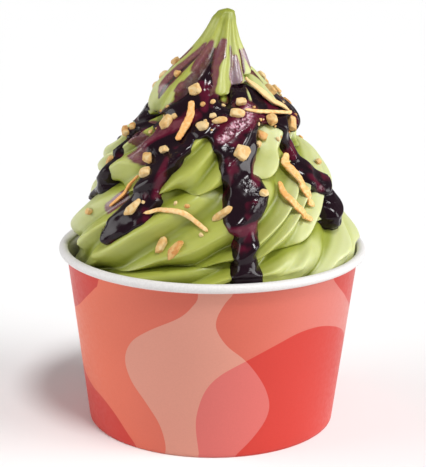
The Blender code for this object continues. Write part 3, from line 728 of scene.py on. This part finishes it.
# The pour round the shoulders, from its near edge left of the front round the back.
POUR = [
    (-134.5, 96.6, 2.4, 1.2), (-120.5, 98.1, 3.6, 1.4), (-109.5, 98.2, 4.4, 1.5),
    (-95.4, 98.2, 4.3, 1.5), (-83.4, 97.8, 5.4, 1.5), (-69.4, 98, 5.6, 1.5), (-59, 100.2, 4.6, 1.5),
    (-45, 100.4, 3.6, 1.5), (-34, 98.9, 4.4, 1.5), (-17, 97.2, 4.8, 1.4), (10, 97, 4.6, 1.4),
    (40, 98, 5, 1.5), (70, 98.5, 4.2, 1.4), (100, 98.5, 5.2, 1.5), (130, 98, 4, 1.4),
    (155, 97.5, 4.6, 1.4), (178, 97, 3.2, 1.3), (200.5, 95.2, 2, 1.2), (212, 94, 1.4, 1.1),
]
# Thin films as (angle, height, half width, tone): 0.3 is lilac, 0.5 mauve, 0.85 wine, 1.1 black.
FILMS = [
    [(-130, 119.1, 1, 0.45), (-139, 115.4, 1.8, 0.48), (-146, 111.7, 2.4, 0.5),
     (-151, 108.2, 2.6, 0.5), (-154, 105.3, 1.8, 0.5)],
    [(-124, 118.2, 0.5, 1), (-135, 114.4, 0.6, 1.1), (-142, 111.1, 0.7, 1.1),
     (-148, 107.4, 0.8, 1.1), (-155, 103.8, 0.9, 1.1)],
    [(-112, 120.1, 1, 0.5), (-116, 117.4, 1.8, 0.55), (-118, 115, 1.8, 0.6), (-118, 113, 1.2, 0.6)],
    [(-104, 117.8, 1.2, 0.7), (-105, 113.2, 1.8, 0.8), (-112, 110.7, 2, 0.9),
     (-118, 108.3, 2, 0.95), (-122, 104.6, 2, 0.95)],
    [(-125, 108.8, 1, 0.6), (-126, 106.8, 1.2, 0.6)],
    [(-101, 117.7, 0.7, 1.1), (-94, 114.7, 1.4, 1.1), (-94, 112.1, 1.8, 1.1)],
    [(-80, 120.3, 1.2, 0.5), (-84, 117.5, 1.7, 0.5), (-86, 114.4, 1.3, 0.5), (-85, 110.9, 1, 0.5),
     (-87, 107.6, 0.7, 0.5)],
    [(-76, 116.9, 0.5, 0.75), (-75, 115.9, 0.5, 0.75)],
    [(-58, 118.9, 0.4, 0.85), (-57, 115.4, 0.6, 0.9), (-58, 112.2, 0.6, 0.9),
     (-62, 109.6, 0.5, 0.9)],
    [(-51, 115.9, 0.9, 0.3), (-50, 113.1, 1.4, 0.32), (-53, 110.1, 1.9, 0.33),
     (-59, 106.9, 1.5, 0.33)],
    [(-25, 117.2, 0.7, 0.85), (-27, 113.9, 1.2, 0.9), (-31, 111, 0.9, 0.9)],
    [(-14, 117.2, 0.9, 0.3), (-13, 114, 1.1, 0.3), (-8, 110.3, 1, 0.3)],
    [(-152, 94.8, 2.6, 0.6), (-146, 91.3, 3.6, 0.55), (-134.5, 88.5, 3.4, 0.6)],
    [(-4, 110, 1.6, 0.9), (-6, 106, 2.4, 0.9), (-10, 101, 2.6, 1)],
    [(-139.7, 76.2, 2.4, 0.6), (-145.7, 72.6, 2.2, 0.6)],
    [(60, 117, 3, 0.5), (50, 108, 4, 0.6)],
    [(120, 117, 2.6, 0.45), (110, 110, 4, 0.55)],
    [(180, 116, 2.4, 0.5), (172, 108, 3.6, 0.6)],
]
# Height up to which sauce stands in the cone's valleys, by angle.
POOL_TOP = [
    (-180, 100), (-158, 99), (-136, 101), (-118, 106), (-104, 111), (-96, 114), (-90, 111),
    (-84, 107), (-76, 103.5), (-66, 106), (-48, 108), (-30, 108), (-10, 105), (20, 112), (60, 110),
    (100, 113), (140, 109), (160, 102), (180, 100),
]
# Where the sauce itself lies thin, as (angle, height, half width, thinness): 0.6 is wine, 1 mauve.
THIN = [
    [(-101, 100.8, 1.4, 0.8), (-112, 98.8, 2, 0.9), (-127, 96, 2.6, 0.9), (-135, 93, 2.8, 0.9),
     (-135, 90.3, 2.4, 0.8)],
    [(-92, 106, 1, 0.7), (-96, 102.5, 1.4, 0.6)],
    [(-85, 95.4, 2.4, 0.7), (-77, 98, 3, 0.7), (-66, 99.8, 3, 0.7), (-58, 102.8, 2.6, 0.7)],
    [(-60, 91, 2, 0.7), (-67, 87, 2, 0.7), (-71, 83.5, 1.6, 0.6)],
    [(-60, 76, 2, 0.7), (-68, 72.5, 2.2, 0.8), (-80, 71, 2, 0.7), (-88, 71.5, 1.4, 0.6)],
    [(-116, 89, 1.2, 0.6), (-117, 84, 1.2, 0.6), (-118, 79, 1.2, 0.6)],
    [(-30, 91, 1.6, 0.7), (-35, 87.5, 1.6, 0.7)],
    [(-33, 81.5, 1.8, 0.6), (-30, 78.5, 1.6, 0.6)],
    [(100, 98, 4, 0.7), (104, 88, 2, 0.6)],
    [(60, 99, 3, 0.7), (150, 96, 3, 0.7)],
]
# Ice crystals have dulled the sauce along this stretch, given like the others.
FROST = [(-86, 95, 1.3, 1), (-78, 97.6, 1.7, 1), (-67, 99.8, 1.7, 1), (-58.4, 103, 1.2, 1)]


def unit(ways):
    """Directions at length 1."""
    return ways / np.linalg.norm(ways, axis=-1, keepdims=True)


def ripple(points, size, seed):
    """Gentle noise from -1 to 1: the mean of waves about size long in eight random directions."""
    rng = np.random.default_rng(seed)
    ways = unit(rng.normal(size=(8, 3))) / (size * rng.uniform(0.7, 1.4, (8, 1)))
    phase = rng.uniform(0, 2 * np.pi, 8)
    waves = sum(np.sin(2 * np.pi * (points @ way) + p) for way, p in zip(ways, phase))
    return waves / 8 * 1.6


def rounded(x):
    """Quarter circle that rises from 0 at x = 0 to 1 at x = 1."""
    return np.sqrt(1 - (1 - np.clip(x, 0, 1)) ** 2)


def along(path, count):
    """The columns of a path's stations, smoothly at count places evenly along it."""
    place = np.linspace(0, len(path) - 1, count)
    return [through(list(enumerate(column)), place) for column in zip(*path)]


def side_length(z):
    """Distance down the pile's side to each height, from the slope of its outline."""
    levels = np.linspace(40, TIP_HEIGHT, 400)
    slope = np.gradient(through(PILE, levels), levels)
    pieces = np.hypot(1, np.clip(slope[1:], -3, 3)) * np.diff(levels)
    return np.interp(z, levels, np.concatenate([[0], np.cumsum(pieces)]))


def along_stroke(stroke, angle, z):
    """Distance in from the edge of a stroke, negative outside, and the stroke's last value there.

    The stroke is a chain of round-ended stretches whose half width changes evenly. Distances are
    measured on the pile's side laid flat at each point.
    """
    count = 4 * (len(stroke) - 1) + 1
    theta, level, half, last = along(stroke, count)
    length = side_length(level)
    arc = np.radians(1) * np.maximum(through(PILE, z), 1)
    down = side_length(z)
    best = np.full(z.shape, -1e9)
    value = np.zeros(z.shape)
    for i in range(count - 1):
        x = half_turn(angle - theta[i]) * arc
        y = down - length[i]
        bx, by = (theta[i + 1] - theta[i]) * arc, length[i + 1] - length[i]
        t, distance = to_stretch(x, y, bx, by)
        inside = half[i] + t * (half[i + 1] - half[i]) - distance
        closer = inside > best
        best = np.where(closer, inside, best)
        value = np.where(closer, last[i] + t * (last[i + 1] - last[i]), value)
    return best, value


def sauce_edge(angle, z, ice_radius):
    """Distance in from the sauce's edge and its thickness, over streams, pour and pooled valleys.

    The strokes are joined by a soft maximum. On the cone the sauce stands where the ice lies lower
    than a level a little under the pile's outline.
    """
    spot = around_pile(angle, z, through(PILE, z))
    wobble = 0.5 * ripple(spot, 7, 1) + 0.25 * ripple(spot, 2.6, 2)
    total, thick = 0, 0
    for stroke in [*STREAMS, POUR]:
        inside, thickness = along_stroke(stroke, angle, z)
        share = np.exp(np.clip(inside, -12, 12) / STROKE_JOIN)
        total = total + share
        thick = thick + share * thickness
    edge = STROKE_JOIN * np.log(total + 1e-9)
    pooled = through(PILE, z) - POOL_UNDER - ice_radius + 0.25 * ripple(spot, 4, 3)
    pooled = np.minimum(2 * pooled, through(POOL_TOP, angle) - z + 0.8 * ripple(spot, 9, 4))
    pooled = np.minimum(pooled, z - POOL_FOOT)
    edge = 0.5 * np.log(sum(np.exp(2 * np.clip(part, -12, 12)) for part in (edge, pooled)))
    return edge + wobble, thick / (total + 1e-9)


def ice_map():
    """Radius of the ice at every angle and height, seen from outside: the farthest of its folds."""
    angle = np.arange(-180, 180, MAP_ANGLE)
    z = np.arange(MAP_LOW, MAP_HIGH, MAP_STEP)
    w = rope_rows(ROPE_SAMPLES)[None, :]
    outer = np.zeros((len(z), len(angle)))
    for turn_number in range(-1, 3):
        points = rope_point(angle[:, None] + TURN * turn_number, w)
        radius = np.hypot(points[..., 0] - through(LEAN, points[..., 2]), points[..., 1])
        row = np.round((points[..., 2] - MAP_LOW) / MAP_STEP).astype(int)
        column = np.broadcast_to(np.arange(len(angle))[:, None], row.shape)
        seen = (row >= 0) & (row < len(z))
        np.maximum.at(outer, (row[seen], column[seen]), radius[seen])
    for _ in range(3):
        above, below = np.roll(outer, 1, 0), np.roll(outer, -1, 0)
        outer = np.where(outer == 0, np.maximum(above, below), outer)
    return angle, z, outer


def blurred(radius_map, size):
    """A map smoothed over size millimetres: Gaussians round each level and up the side."""
    waves = np.fft.rfftfreq(len(map_angle), d=MAP_ANGLE)
    spread = np.degrees(size / np.maximum(through(PILE, map_z), 2))[:, None]
    keep = np.exp(-2 * (np.pi * waves[None, :] * spread) ** 2)
    level = np.fft.irfft(np.fft.rfft(radius_map, axis=1) * keep, len(map_angle), axis=1)
    apart = (map_z[:, None] - map_z[None, :]) / size
    weights = np.exp(-0.5 * apart**2)
    trend = through(PILE, map_z)[:, None]
    return weights / weights.sum(1, keepdims=True) @ (level - trend) + trend


def look_up(value_map, angle, z):
    """Value of a map at angles and heights, straight between its points."""
    column = np.mod((angle - map_angle[0]) / MAP_ANGLE, len(map_angle))
    row = np.clip((z - MAP_LOW) / MAP_STEP, 0, len(map_z) - 1.001)
    c, r = column.astype(int), row.astype(int)
    c_next = (c + 1) % len(map_angle)
    fc, fr = column - c, row - r
    c = c % len(map_angle)
    low = value_map[r, c] * (1 - fc) + value_map[r, c_next] * fc
    high = value_map[r + 1, c] * (1 - fc) + value_map[r + 1, c_next] * fc
    return low * (1 - fr) + high * fr


map_angle, map_z, ice = ice_map()
ice = blurred(ice, 0.25)
angle_grid, z_grid = np.meshgrid(map_angle, map_z)
edge, thickness = sauce_edge(angle_grid, z_grid, ice)
# The sauce fills the creases up to this level, which bridges them from crest to crest.
level = np.maximum(ice, blurred(ice, 2.6))
level = blurred(np.maximum(level, blurred(level, 1.6)), 0.9) + OVER_CREST
lumps = 1 + 0.2 * ripple(around_pile(angle_grid, z_grid, level), 7, 5)
sauce = ice + step(0, FILL_REACH, edge) * np.maximum(level - ice, 0)
sauce = sauce + thickness * lumps * rounded(edge / EDGE_ROUND)
sauce = np.where(edge > DIP_REACH, blurred(sauce, 0.45), sauce)
sauce = np.where(edge < 0, ice - DIP * np.clip(-edge / DIP_REACH, 0, 1), sauce)
rim_room = SAUCE_ROOM_RADIUS + RIM_FLARE * np.maximum(z_grid - RIM_ROOM_HEIGHT, 0)
over = sauce - rim_room
sauce = rim_room + (over - np.sqrt(over**2 + SAUCE_ROOM_SOFT)) / 2


def sheet_faces(kept):
    """Faces of a sheet with a thickness over the kept cells of a map: outside, inside and border.

    Points are numbered along the map for the outside, and again after those for the inside.
    """
    rows, columns = kept.shape[0] + 1, kept.shape[1]
    i, j = np.nonzero(kept)
    right = (j + 1) % columns
    a, b = i * columns + j, i * columns + right
    c, d = b + columns, a + columns
    inner = rows * columns
    faces = [together(a, b, c, d), inner + together(d, c, b, a)]
    padded = np.pad(kept, ((1, 1), (0, 0)))
    sides = [
        (padded[:-2], a, b),
        (np.roll(kept, -1, 1), b, c),
        (padded[2:], c, d),
        (np.roll(kept, 1, 1), d, a),
    ]
    for neighbour, start, end in sides:
        border = ~neighbour[i, j]
        s, e = start[border], end[border]
        faces.append(together(e, s, inner + s, inner + e))
    return np.vstack(faces)


def without_corners(kept):
    """Fills cells until no two kept cells meet only at a corner."""
    for _ in range(6):
        up, right = np.roll(kept, -1, 0), np.roll(kept, -1, 1)
        both = np.roll(up, -1, 1)
        crossing = (kept & both & ~up & ~right) | (up & right & ~kept & ~both)
        if not crossing[:-1].any():
            break
        kept = kept | crossing
        kept = kept | np.roll(crossing, 1, 0) | np.roll(crossing, 1, 1)
    return kept


outside = around_pile(angle_grid, z_grid, sauce).reshape(-1, 3)
inside = np.minimum(ice, sauce) - SHEET_DEPTH
inside = around_pile(angle_grid, z_grid, inside).reshape(-1, 3)
# A cell of the map is wet where the sauce reaches any of its corners.
cell_edge = np.maximum(edge, np.roll(edge, -1, 1))
cell_edge = np.maximum(cell_edge[:-1], cell_edge[1:])
wet = without_corners(cell_edge > -EDGE_REACH)
used, numbered = np.unique(sheet_faces(wet), return_inverse=True)
thin = np.zeros(edge.shape)
for stroke in THIN:
    reached, amount = along_stroke(stroke, angle_grid, z_grid)
    thin = np.maximum(thin, amount * step(-0.8, 1.2, reached))
frost = np.clip(along_stroke(FROST, angle_grid, z_grid)[0], -3, 3)
points = np.vstack([outside, inside])[used]
berry = new_piece("berry_sauce", points, numbered.reshape(-1, 4), ["soft_serve"])
for name, values in (("thin", thin), ("frost", frost)):
    write_value(berry, name, np.concatenate([values.ravel()] * 2)[used])

gloss = Finish("berry_sauce", 0.1)
thin = gloss.math("MULTIPLY", gloss.value("thin"), gloss.patches(3, 3, 0.75, 1.15))
thin = gloss.math("MAXIMUM", thin, gloss.ramp(gloss.noise(7, 2), 0.52, 0.72, 0, 0.5))
frost_lumps = gloss.ramp(gloss.noise(1.1, 4), 0.38, 0.56)
frosted = gloss.math("MULTIPLY", gloss.ramp(gloss.value("frost"), -0.3, 1.0), frost_lumps)
# Thick sauce is nearly black, thinner wine, and the thinnest mauve.
black, wine, mauve = (0.010, 0.0025, 0.006), (0.085, 0.004, 0.018), (0.16, 0.04, 0.055)
juice = gloss.colours(thin, (0.05, black), (0.6, wine), (1, mauve))
grains = gloss.ramp(gloss.noise(0.7, 3), 0.42, 0.6)
crystals = gloss.mix(grains, (0.34, 0.10, 0.16), (0.68, 0.47, 0.53))
gloss.colour(gloss.mix(frosted, juice, crystals))
dull = gloss.math("MULTIPLY", frosted, 0.35)
gloss.roughness(gloss.math("ADD", gloss.patches(3, 3, 0.1, 0.2), dull))
gloss.fixed("Specular IOR Level", 0.28)
gloss.bump(gloss.noise(4, 2), 0.1)
crinkles = gloss.math("MULTIPLY", gloss.noise(1.4, 3), gloss.ramp(gloss.noise(9, 1), 0.48, 0.62))
gloss.bump(crinkles, 0.3)
gloss.bump(frosted, 0.25)
gloss.put_on(berry)

# The ice's finish, with painted light and shade. "film" is how much sauce stains it and
# "film_tone" that stain's colour, "hollow" is how far it lies under its neighbourhood, 1 at
# FULL_HOLLOW, and paints shade into the creases and light on the crests, and "pale" is painted
# side light: a milky green on the left and right, where the side lamps fall.
FULL_HOLLOW = 2.2
spot = np.empty(3 * len(swirl.data.vertices))
swirl.data.vertices.foreach_get("co", spot)
spot = spot.reshape(-1, 3) / MM
z = spot[:, 2]
x = spot[:, 0] - through(LEAN, z)
angle = np.degrees(np.arctan2(spot[:, 1], x))
cover = 0.9 * step(-1.6, 0.2, look_up(edge, angle, z)) * step(97, 101, z)
tone = np.full(len(spot), 0.8)
for stroke in FILMS:
    reached, amount = along_stroke(stroke, angle, z)
    share = step(-0.7, 0.9, reached + 0.3 * ripple(spot, 3, 7))
    tone = tone + share * (amount - tone)
    cover = np.maximum(cover, share)
write_value(swirl, "film", cover)
write_value(swirl, "film_tone", tone)
# How far each point lies in a crease, used to paint shade into creases and light on crests.
hollow = (look_up(blurred(ice, 5), angle, z) - np.hypot(x, spot[:, 1])) / FULL_HOLLOW
write_value(swirl, "hollow", np.clip(hollow, -1, 1))
# Painted light: 1 on the left and right sides, where the side lamps fall, fading out up the cone.
side = np.cos(np.radians(angle))
pale = np.maximum(step(0.2, 0.85, side), step(0.8, 1, -side)) * (1 - step(105, 125, z))
write_value(swirl, "pale", pale)

creamy = Finish("green_soft_serve", 0.42)
tone = creamy.value("film_tone")
hollow = creamy.value("hollow")
# Painted light: crests that stand out are a lighter green, as if they caught more light.
crest_light = creamy.ramp(hollow, -0.2, -0.8)
green = creamy.mix(creamy.patches(9, 3, 0, 1), (0.34, 0.37, 0.05), (0.37, 0.40, 0.065))
green = creamy.mix(crest_light, green, (0.40, 0.43, 0.075))
# Painted side light: a paler, milky green, paler still on the crests.
side_lit_green = creamy.mix(crest_light, (0.50, 0.53, 0.21), (0.56, 0.59, 0.29))
green = creamy.mix(creamy.value("pale"), green, side_lit_green)
# Painted shade: deep in the creases the green turns dark olive, where shade falls.
green = creamy.mix(creamy.ramp(hollow, 0.05, 0.7), green, (0.26, 0.295, 0.025))
lilac, mauve = (0.26, 0.17, 0.21), (0.19, 0.055, 0.07)
wine, black = (0.085, 0.006, 0.016), (0.014, 0.0035, 0.0085)
stain = creamy.colours(tone, (0.3, lilac), (0.5, mauve), (0.85, wine), (1.1, black))
streaks = creamy.ramp(creamy.noise(1.6, 4), 0.35, 0.65, 0.92, 1)
share = creamy.math("MULTIPLY", creamy.ramp(creamy.value("film"), 0.15, 0.75), streaks)
creamy.colour(creamy.mix(share, green, stain))
wetter = creamy.math("MULTIPLY", share, 0.2)
creamy.roughness(creamy.math("SUBTRACT", creamy.patches(2, 3, 0.40, 0.48), wetter))
creamy.fixed("Specular IOR Level", 0.8)
creamy.fixed("Subsurface Weight", 0.35)
creamy.fixed("Subsurface Radius", (1.0, 0.8, 0.25))
creamy.fixed("Subsurface Scale", 2.5 * MM)
creamy.bump(creamy.noise(1.2, 4), 0.05)
creamy.bump(creamy.noise(6, 2), 0.25)
creamy.put_on(swirl)


# Chopped nuts: dry angular chips, cream inside and tan where they were roasted, pressed a little
# into the sauce. Each is a lump cut by flat faces with worn edges.
# In front as (angle, height, width, length, turn, tone), where tone 0 is cream and 1 toasted.
NUTS = [
    (165, 112.7, 3, 2.4, 20, 0.4), (-142, 110.7, 1.9, 2.1, 10, 0.5),
    (-106, 107.2, 3.6, 3.1, 30, 0.3), (-12, 104.9, 3.7, 3.8, 40, 0.4), (-63.4, 104, 3, 2.6, 0, 0.2),
    (-71.4, 101.3, 4.1, 2.6, -10, 0.2), (-44.4, 98.7, 3, 3.3, 20, 0.5),
    (-85.4, 99.7, 3.8, 1.9, 5, 0.4), (-97.4, 98, 3.3, 2.7, 40, 0.1),
    (-125.5, 97.7, 3.4, 4.8, 15, 0.3), (-54.4, 94.3, 3.4, 2.6, -30, 0.7),
    (-62.4, 92.6, 2.4, 1.9, 0, 0.2), (-76.4, 91.6, 4.4, 4.4, 35, 0.3),
    (-23.4, 96.2, 3.2, 4.1, -20, 0.5), (-128.5, 88.5, 3.7, 2.8, 0, 0.4),
    (-119.5, 91.3, 2.5, 2.5, 45, 0.1), (-125.5, 84.9, 3, 3.3, 30, 0.2),
    (-165.5, 93.3, 2.5, 2.2, 0, 1), (-161.5, 94.5, 2.2, 1.9, 20, 0.6),
    (-163.5, 92.5, 2.2, 1.9, 50, 0.4), (-161.5, 84.3, 3.2, 3.2, 10, 0.6),
    (-156.7, 70.1, 2.2, 2.2, 0, 0.5), (-126.7, 75.3, 2.3, 5.2, -35, 0.2),
    (-86.7, 75.1, 2.4, 6, -38, 0.3), (-112.7, 64.9, 2.5, 4.8, 5, 0.4),
    (-105.7, 64.7, 2.5, 6, -25, 0.8), (-68.7, 80.5, 2.5, 2.2, 10, 0.2),
    (-12.6, 83.9, 2.1, 1.8, 0, 0.4),
]
NUTS_BEHIND = 24
# Crumbs that lie in front as (angle, height, size, tone), and how many more lie about.
CRUMBS = [
    (-120.5, 99.9, 1.9, 0.2), (-102.7, 77.1, 1.5, 0.9), (-108.7, 77.3, 1.3, 0.1),
    (-95.7, 69.5, 1.4, 0.1), (-79.4, 103.2, 1.2, 0.1), (-89.4, 100.9, 1.9, 0.1),
    (-88.2, 104.2, 1.6, 0.1), (-95.4, 99.4, 1.2, 0.2), (-98.4, 97.4, 1.1, 0.1),
    (-122.7, 77.2, 1.1, 0.1),
]
CRUMBS_ABOUT = 34
SEED = 11
# Rows and columns of points on each nut and on each crumb.
NUT_GRID = (25, 40)
CRUMB_GRID = (15, 24)
# How uneven a brick is and how many corners are off; a higher WORN leaves sharper edges.
TILT = 0.24
CUTS = 5
WORN = 60
# Points at a pole are one if they are closer than this.
POLE = 0.001


def on_top(angle, z):
    """Point on the sauce or the bare ice, whichever is outside, at an angle and height."""
    return around_pile(angle, z, look_up(top, angle, z))


def resting_frame(angle, z):
    """A point to rest on, with the ways round, up and out of it, each square to the others.

    They come from the differences between points 2 degrees and 0.8 mm to either side.
    """
    sideways = unit(on_top(angle + 2, z) - on_top(angle - 2, z))
    out = unit(np.cross(sideways, on_top(angle, z + 0.8) - on_top(angle, z - 0.8)))
    return on_top(angle, z), sideways, np.cross(out, sideways), out


def chip_points(rng, size, rows, columns):
    """Points of a lump of the given width, length and thickness, row by row from pole to pole.

    Its radius in a direction is the soft minimum of the distances to the six tilted faces of a
    brick and to the faces that cut its corners off.
    """
    polar = np.linspace(0, np.pi, rows)[:, None]
    turn = 2 * np.pi * np.arange(columns)[None, :] / columns
    level = np.sin(polar)
    ways = together(level * np.cos(turn), level * np.sin(turn), np.cos(polar)).reshape(-1, 3)
    brick = np.vstack([np.eye(3), -np.eye(3)]) + rng.normal(0, TILT, (6, 3))
    normals = unit(np.vstack([brick, rng.normal(size=(CUTS, 3))]))
    reach = np.concatenate([rng.uniform(0.85, 1.1, 6), rng.uniform(0.85, 1.15, CUTS)])
    facing = np.maximum(ways @ normals.T, 0) / reach
    radius = np.minimum((facing**WORN).sum(1) ** (-1 / WORN), 1.3)
    points = ways * radius[:, None]
    points = points * (1 + 0.03 * ripple(points + rng.uniform(0, 9, 3), 0.7, 8)[:, None])
    return points * np.array(size) / 2


def nut_chip(angle, z, width, length, turn, tone):
    """A nut that lies flat, about half as thick as it is wide."""
    thick = 0.55 * min(width, length) + 0.6
    return angle, z, (width, length, thick), turn, tone, 0.22 * thick


def crumb_chip(angle, z, size, turn, tone):
    """A crumb, sunk further in."""
    return angle, z, (size, 0.8 * size, 0.7 * size), turn, tone, 0.1 * size


def strewn(name, bodies, faces, slot_name, **values):
    """One piece of many like bodies, with the values that its finish reads."""
    faces = [faces + number * len(bodies[0]) for number in range(len(bodies))]
    piece = new_piece(name, np.vstack(bodies), np.vstack(faces), ["soft_serve"])
    for value_name, numbers in values.items():
        write_value(piece, value_name, numbers)
    merge_points(piece.data, POLE)
    return piece


def scattered(name, chips, rows, columns):
    """One piece of many chips, each given as (angle, height, size, turn, tone, lift)."""
    bodies = []
    for angle, z, size, turn, _, lift in chips:
        spot, sideways, up, out = resting_frame(angle, z)
        cos, sin = math.cos(math.radians(turn)), math.sin(math.radians(turn))
        ways = np.stack([sideways * cos + up * sin, up * cos - sideways * sin, out])
        bodies.append(spot + out * lift + chip_points(draws, size, rows, columns) @ ways)
    faces = grid_faces(rows, columns, False, True)[:, ::-1]
    tones = np.repeat([chip[4] for chip in chips], rows * columns)
    return strewn(name, bodies, faces, "chopped_nuts", tone=tones)


top = blurred(np.where(edge > 0, sauce, ice), 0.8)
draws = np.random.default_rng(SEED)
chips = [nut_chip(*nut) for nut in NUTS]
for _ in range(NUTS_BEHIND):
    width, length = draws.uniform(2.2, 4.8, 2)
    angle, z = draws.uniform(5, 172), 78 + 32 * draws.uniform() ** 0.6
    chips.append(nut_chip(angle, z, width, length, draws.uniform(0, 180), draws.uniform()))
nuts = scattered("chopped_nuts", chips, *NUT_GRID)
chips = [crumb_chip(*place, size, draws.uniform(0, 180), tone) for *place, size, tone in CRUMBS]
for _ in range(CRUMBS_ABOUT):
    size, angle, z = draws.uniform(0.6, 1.5), draws.uniform(-180, 180), draws.uniform(92, 104)
    chips.append(crumb_chip(angle, z, size, draws.uniform(0, 180), draws.uniform()))
crumbs = scattered("nut_crumbs", chips, *CRUMB_GRID)

dry = Finish("chopped_nuts", 0.6)
tone = dry.math("ADD", dry.value("tone"), dry.patches(1.6, 3, -0.35, 0.35))
cream, tan, brown = (0.72, 0.53, 0.26), (0.66, 0.40, 0.14), (0.56, 0.24, 0.06)
dry.colour(dry.colours(tone, (0, cream), (0.5, tan), (1.1, brown)))
dry.roughness(dry.patches(0.8, 3, 0.5, 0.7))
dry.bump(dry.noise(0.5, 4), 0.12)
dry.put_on(nuts)
dry.put_on(crumbs)


# Toasted strips: thin dry slivers with browned edges, strewn last, so that they lie on the rest.
# Each has its path as (angle, height, lift), its width, its thickness and its tone.
STRIPS = [
    ([(-107.2, 104, 0.9), (-106.4, 100.5, 0.9), (-109.5, 97.3, 0.8), (-112.5, 93.6, 0.8)],
     2.5, 1, 0.6),
    ([(-38.2, 109.8, 1), (-35, 105.9, 1), (-31.4, 102.7, 0.9), (-18.4, 98.7, 0.8)], 2.6, 1, 0.1),
    ([(-64.4, 102.1, 0.5), (-43.4, 100.5, 0.8), (-19.4, 99, 1.4)], 1.2, 0.8, 0.3),
    ([(-37.5, 88.4, 1.3), (-42, 83.9, 1.4), (-43, 79.2, 1.4), (-38, 73.4, 0.8)], 2.9, 0.9, 0.5),
    ([(-53.2, 81.2, 1.2), (-54, 77.3, 1.4), (-48.5, 73, 1.2), (-42.7, 70.2, 0.8)], 2.2, 0.9, 0.6),
    ([(-145.7, 72.9, 0.4), (-139, 76.9, 0.8), (-134.5, 80.5, 0.8), (-132, 83.1, 0.4)],
     1.1, 0.9, 0.9),
    ([(-121.7, 74.2, 0.7), (-112.7, 75.1, 0.7), (-104.7, 75.3, 0.7), (-99.2, 72.4, 0.7),
      (-92.7, 70.4, 0.4)], 1.6, 0.9, 0.3),
    ([(70, 104, 0.8), (78, 99, 0.8), (84, 94, 0.6)], 2.2, 0.9, 0.3),
    ([(128, 96, 0.8), (120, 90, 0.8), (118, 84, 0.6)], 1.8, 0.9, 0.6),
    ([(20, 88, 0.6), (30, 86, 0.8), (38, 84, 0.6)], 2, 0.9, 0.5),
]
STRIP_STATIONS = 36
STRIP_SIDES = 14
# Share of its length over which each end is domed.
STRIP_DOME = 0.07


def strip_points(path, width, thick):
    """Points of a sliver, and 1 along its two edges.

    A rounded oblong is carried along the smoothed path; its width is uneven and its ends are short
    domes.
    """
    angle, z, lift = along(path, STRIP_STATIONS)
    spot, _, _, out = resting_frame(angle, z)
    line = spot + out * lift[:, None]
    for _ in range(3):
        line[1:-1] = (line[:-2] + 2 * line[1:-1] + line[2:]) / 4
    ahead = np.gradient(line, axis=0)
    side = unit(np.cross(ahead, out))
    out = unit(np.cross(side, ahead))
    share = np.linspace(0, 1, STRIP_STATIONS)
    size = 0.72 + 0.28 * np.sin(np.pi * share)
    size = rounded(np.minimum(share, 1 - share) / STRIP_DOME) * size
    size = size * (1 + 0.12 * ripple(line, 3, 12))
    around = 2 * np.pi * np.arange(STRIP_SIDES) / STRIP_SIDES
    cos, sin = np.cos(around), np.sin(around)
    across = np.sign(cos) * np.abs(cos) ** 0.5 * width / 2
    above = np.sign(sin) * np.abs(sin) ** 0.6 * thick / 2
    ring = side[:, None] * across[None, :, None] + out[:, None] * above[None, :, None]
    points = line[:, None] + ring * size[:, None, None]
    rough = 1 + 0.1 * ripple(points.reshape(-1, 3), 1.1, 13).reshape(points.shape[:2])
    points = line[:, None] + (points - line[:, None]) * rough[..., None]
    edge_tone = np.broadcast_to(np.abs(cos) ** 3, points.shape[:2])
    return points.reshape(-1, 3), edge_tone.reshape(-1)


bodies, browned = zip(*(strip_points(path, width, thick) for path, width, thick, _ in STRIPS))
faces = grid_faces(STRIP_STATIONS, STRIP_SIDES, False, True)
tones = np.repeat([strip[3] for strip in STRIPS], len(bodies[0]))
browned = np.concatenate(browned)
strips = strewn("toasted_strips", bodies, faces, "toasted_strips", tone=tones, browned=browned)

toast = Finish("toasted_strips", 0.6)
tone = toast.math("ADD", toast.value("tone"), toast.patches(0.9, 4, -0.3, 0.3))
straw, amber, brown = (0.86, 0.62, 0.30), (0.88, 0.42, 0.11), (0.48, 0.17, 0.03)
golden = toast.colours(tone, (0, straw), (0.9, amber))
browned = toast.math("MULTIPLY", toast.value("browned"), toast.ramp(tone, 0.2, 1.2, 0.1, 0.75))
toast.colour(toast.mix(browned, golden, brown))
toast.roughness(toast.patches(0.8, 3, 0.5, 0.7))
toast.bump(toast.noise(0.45, 4), 0.14)
toast.put_on(strips)
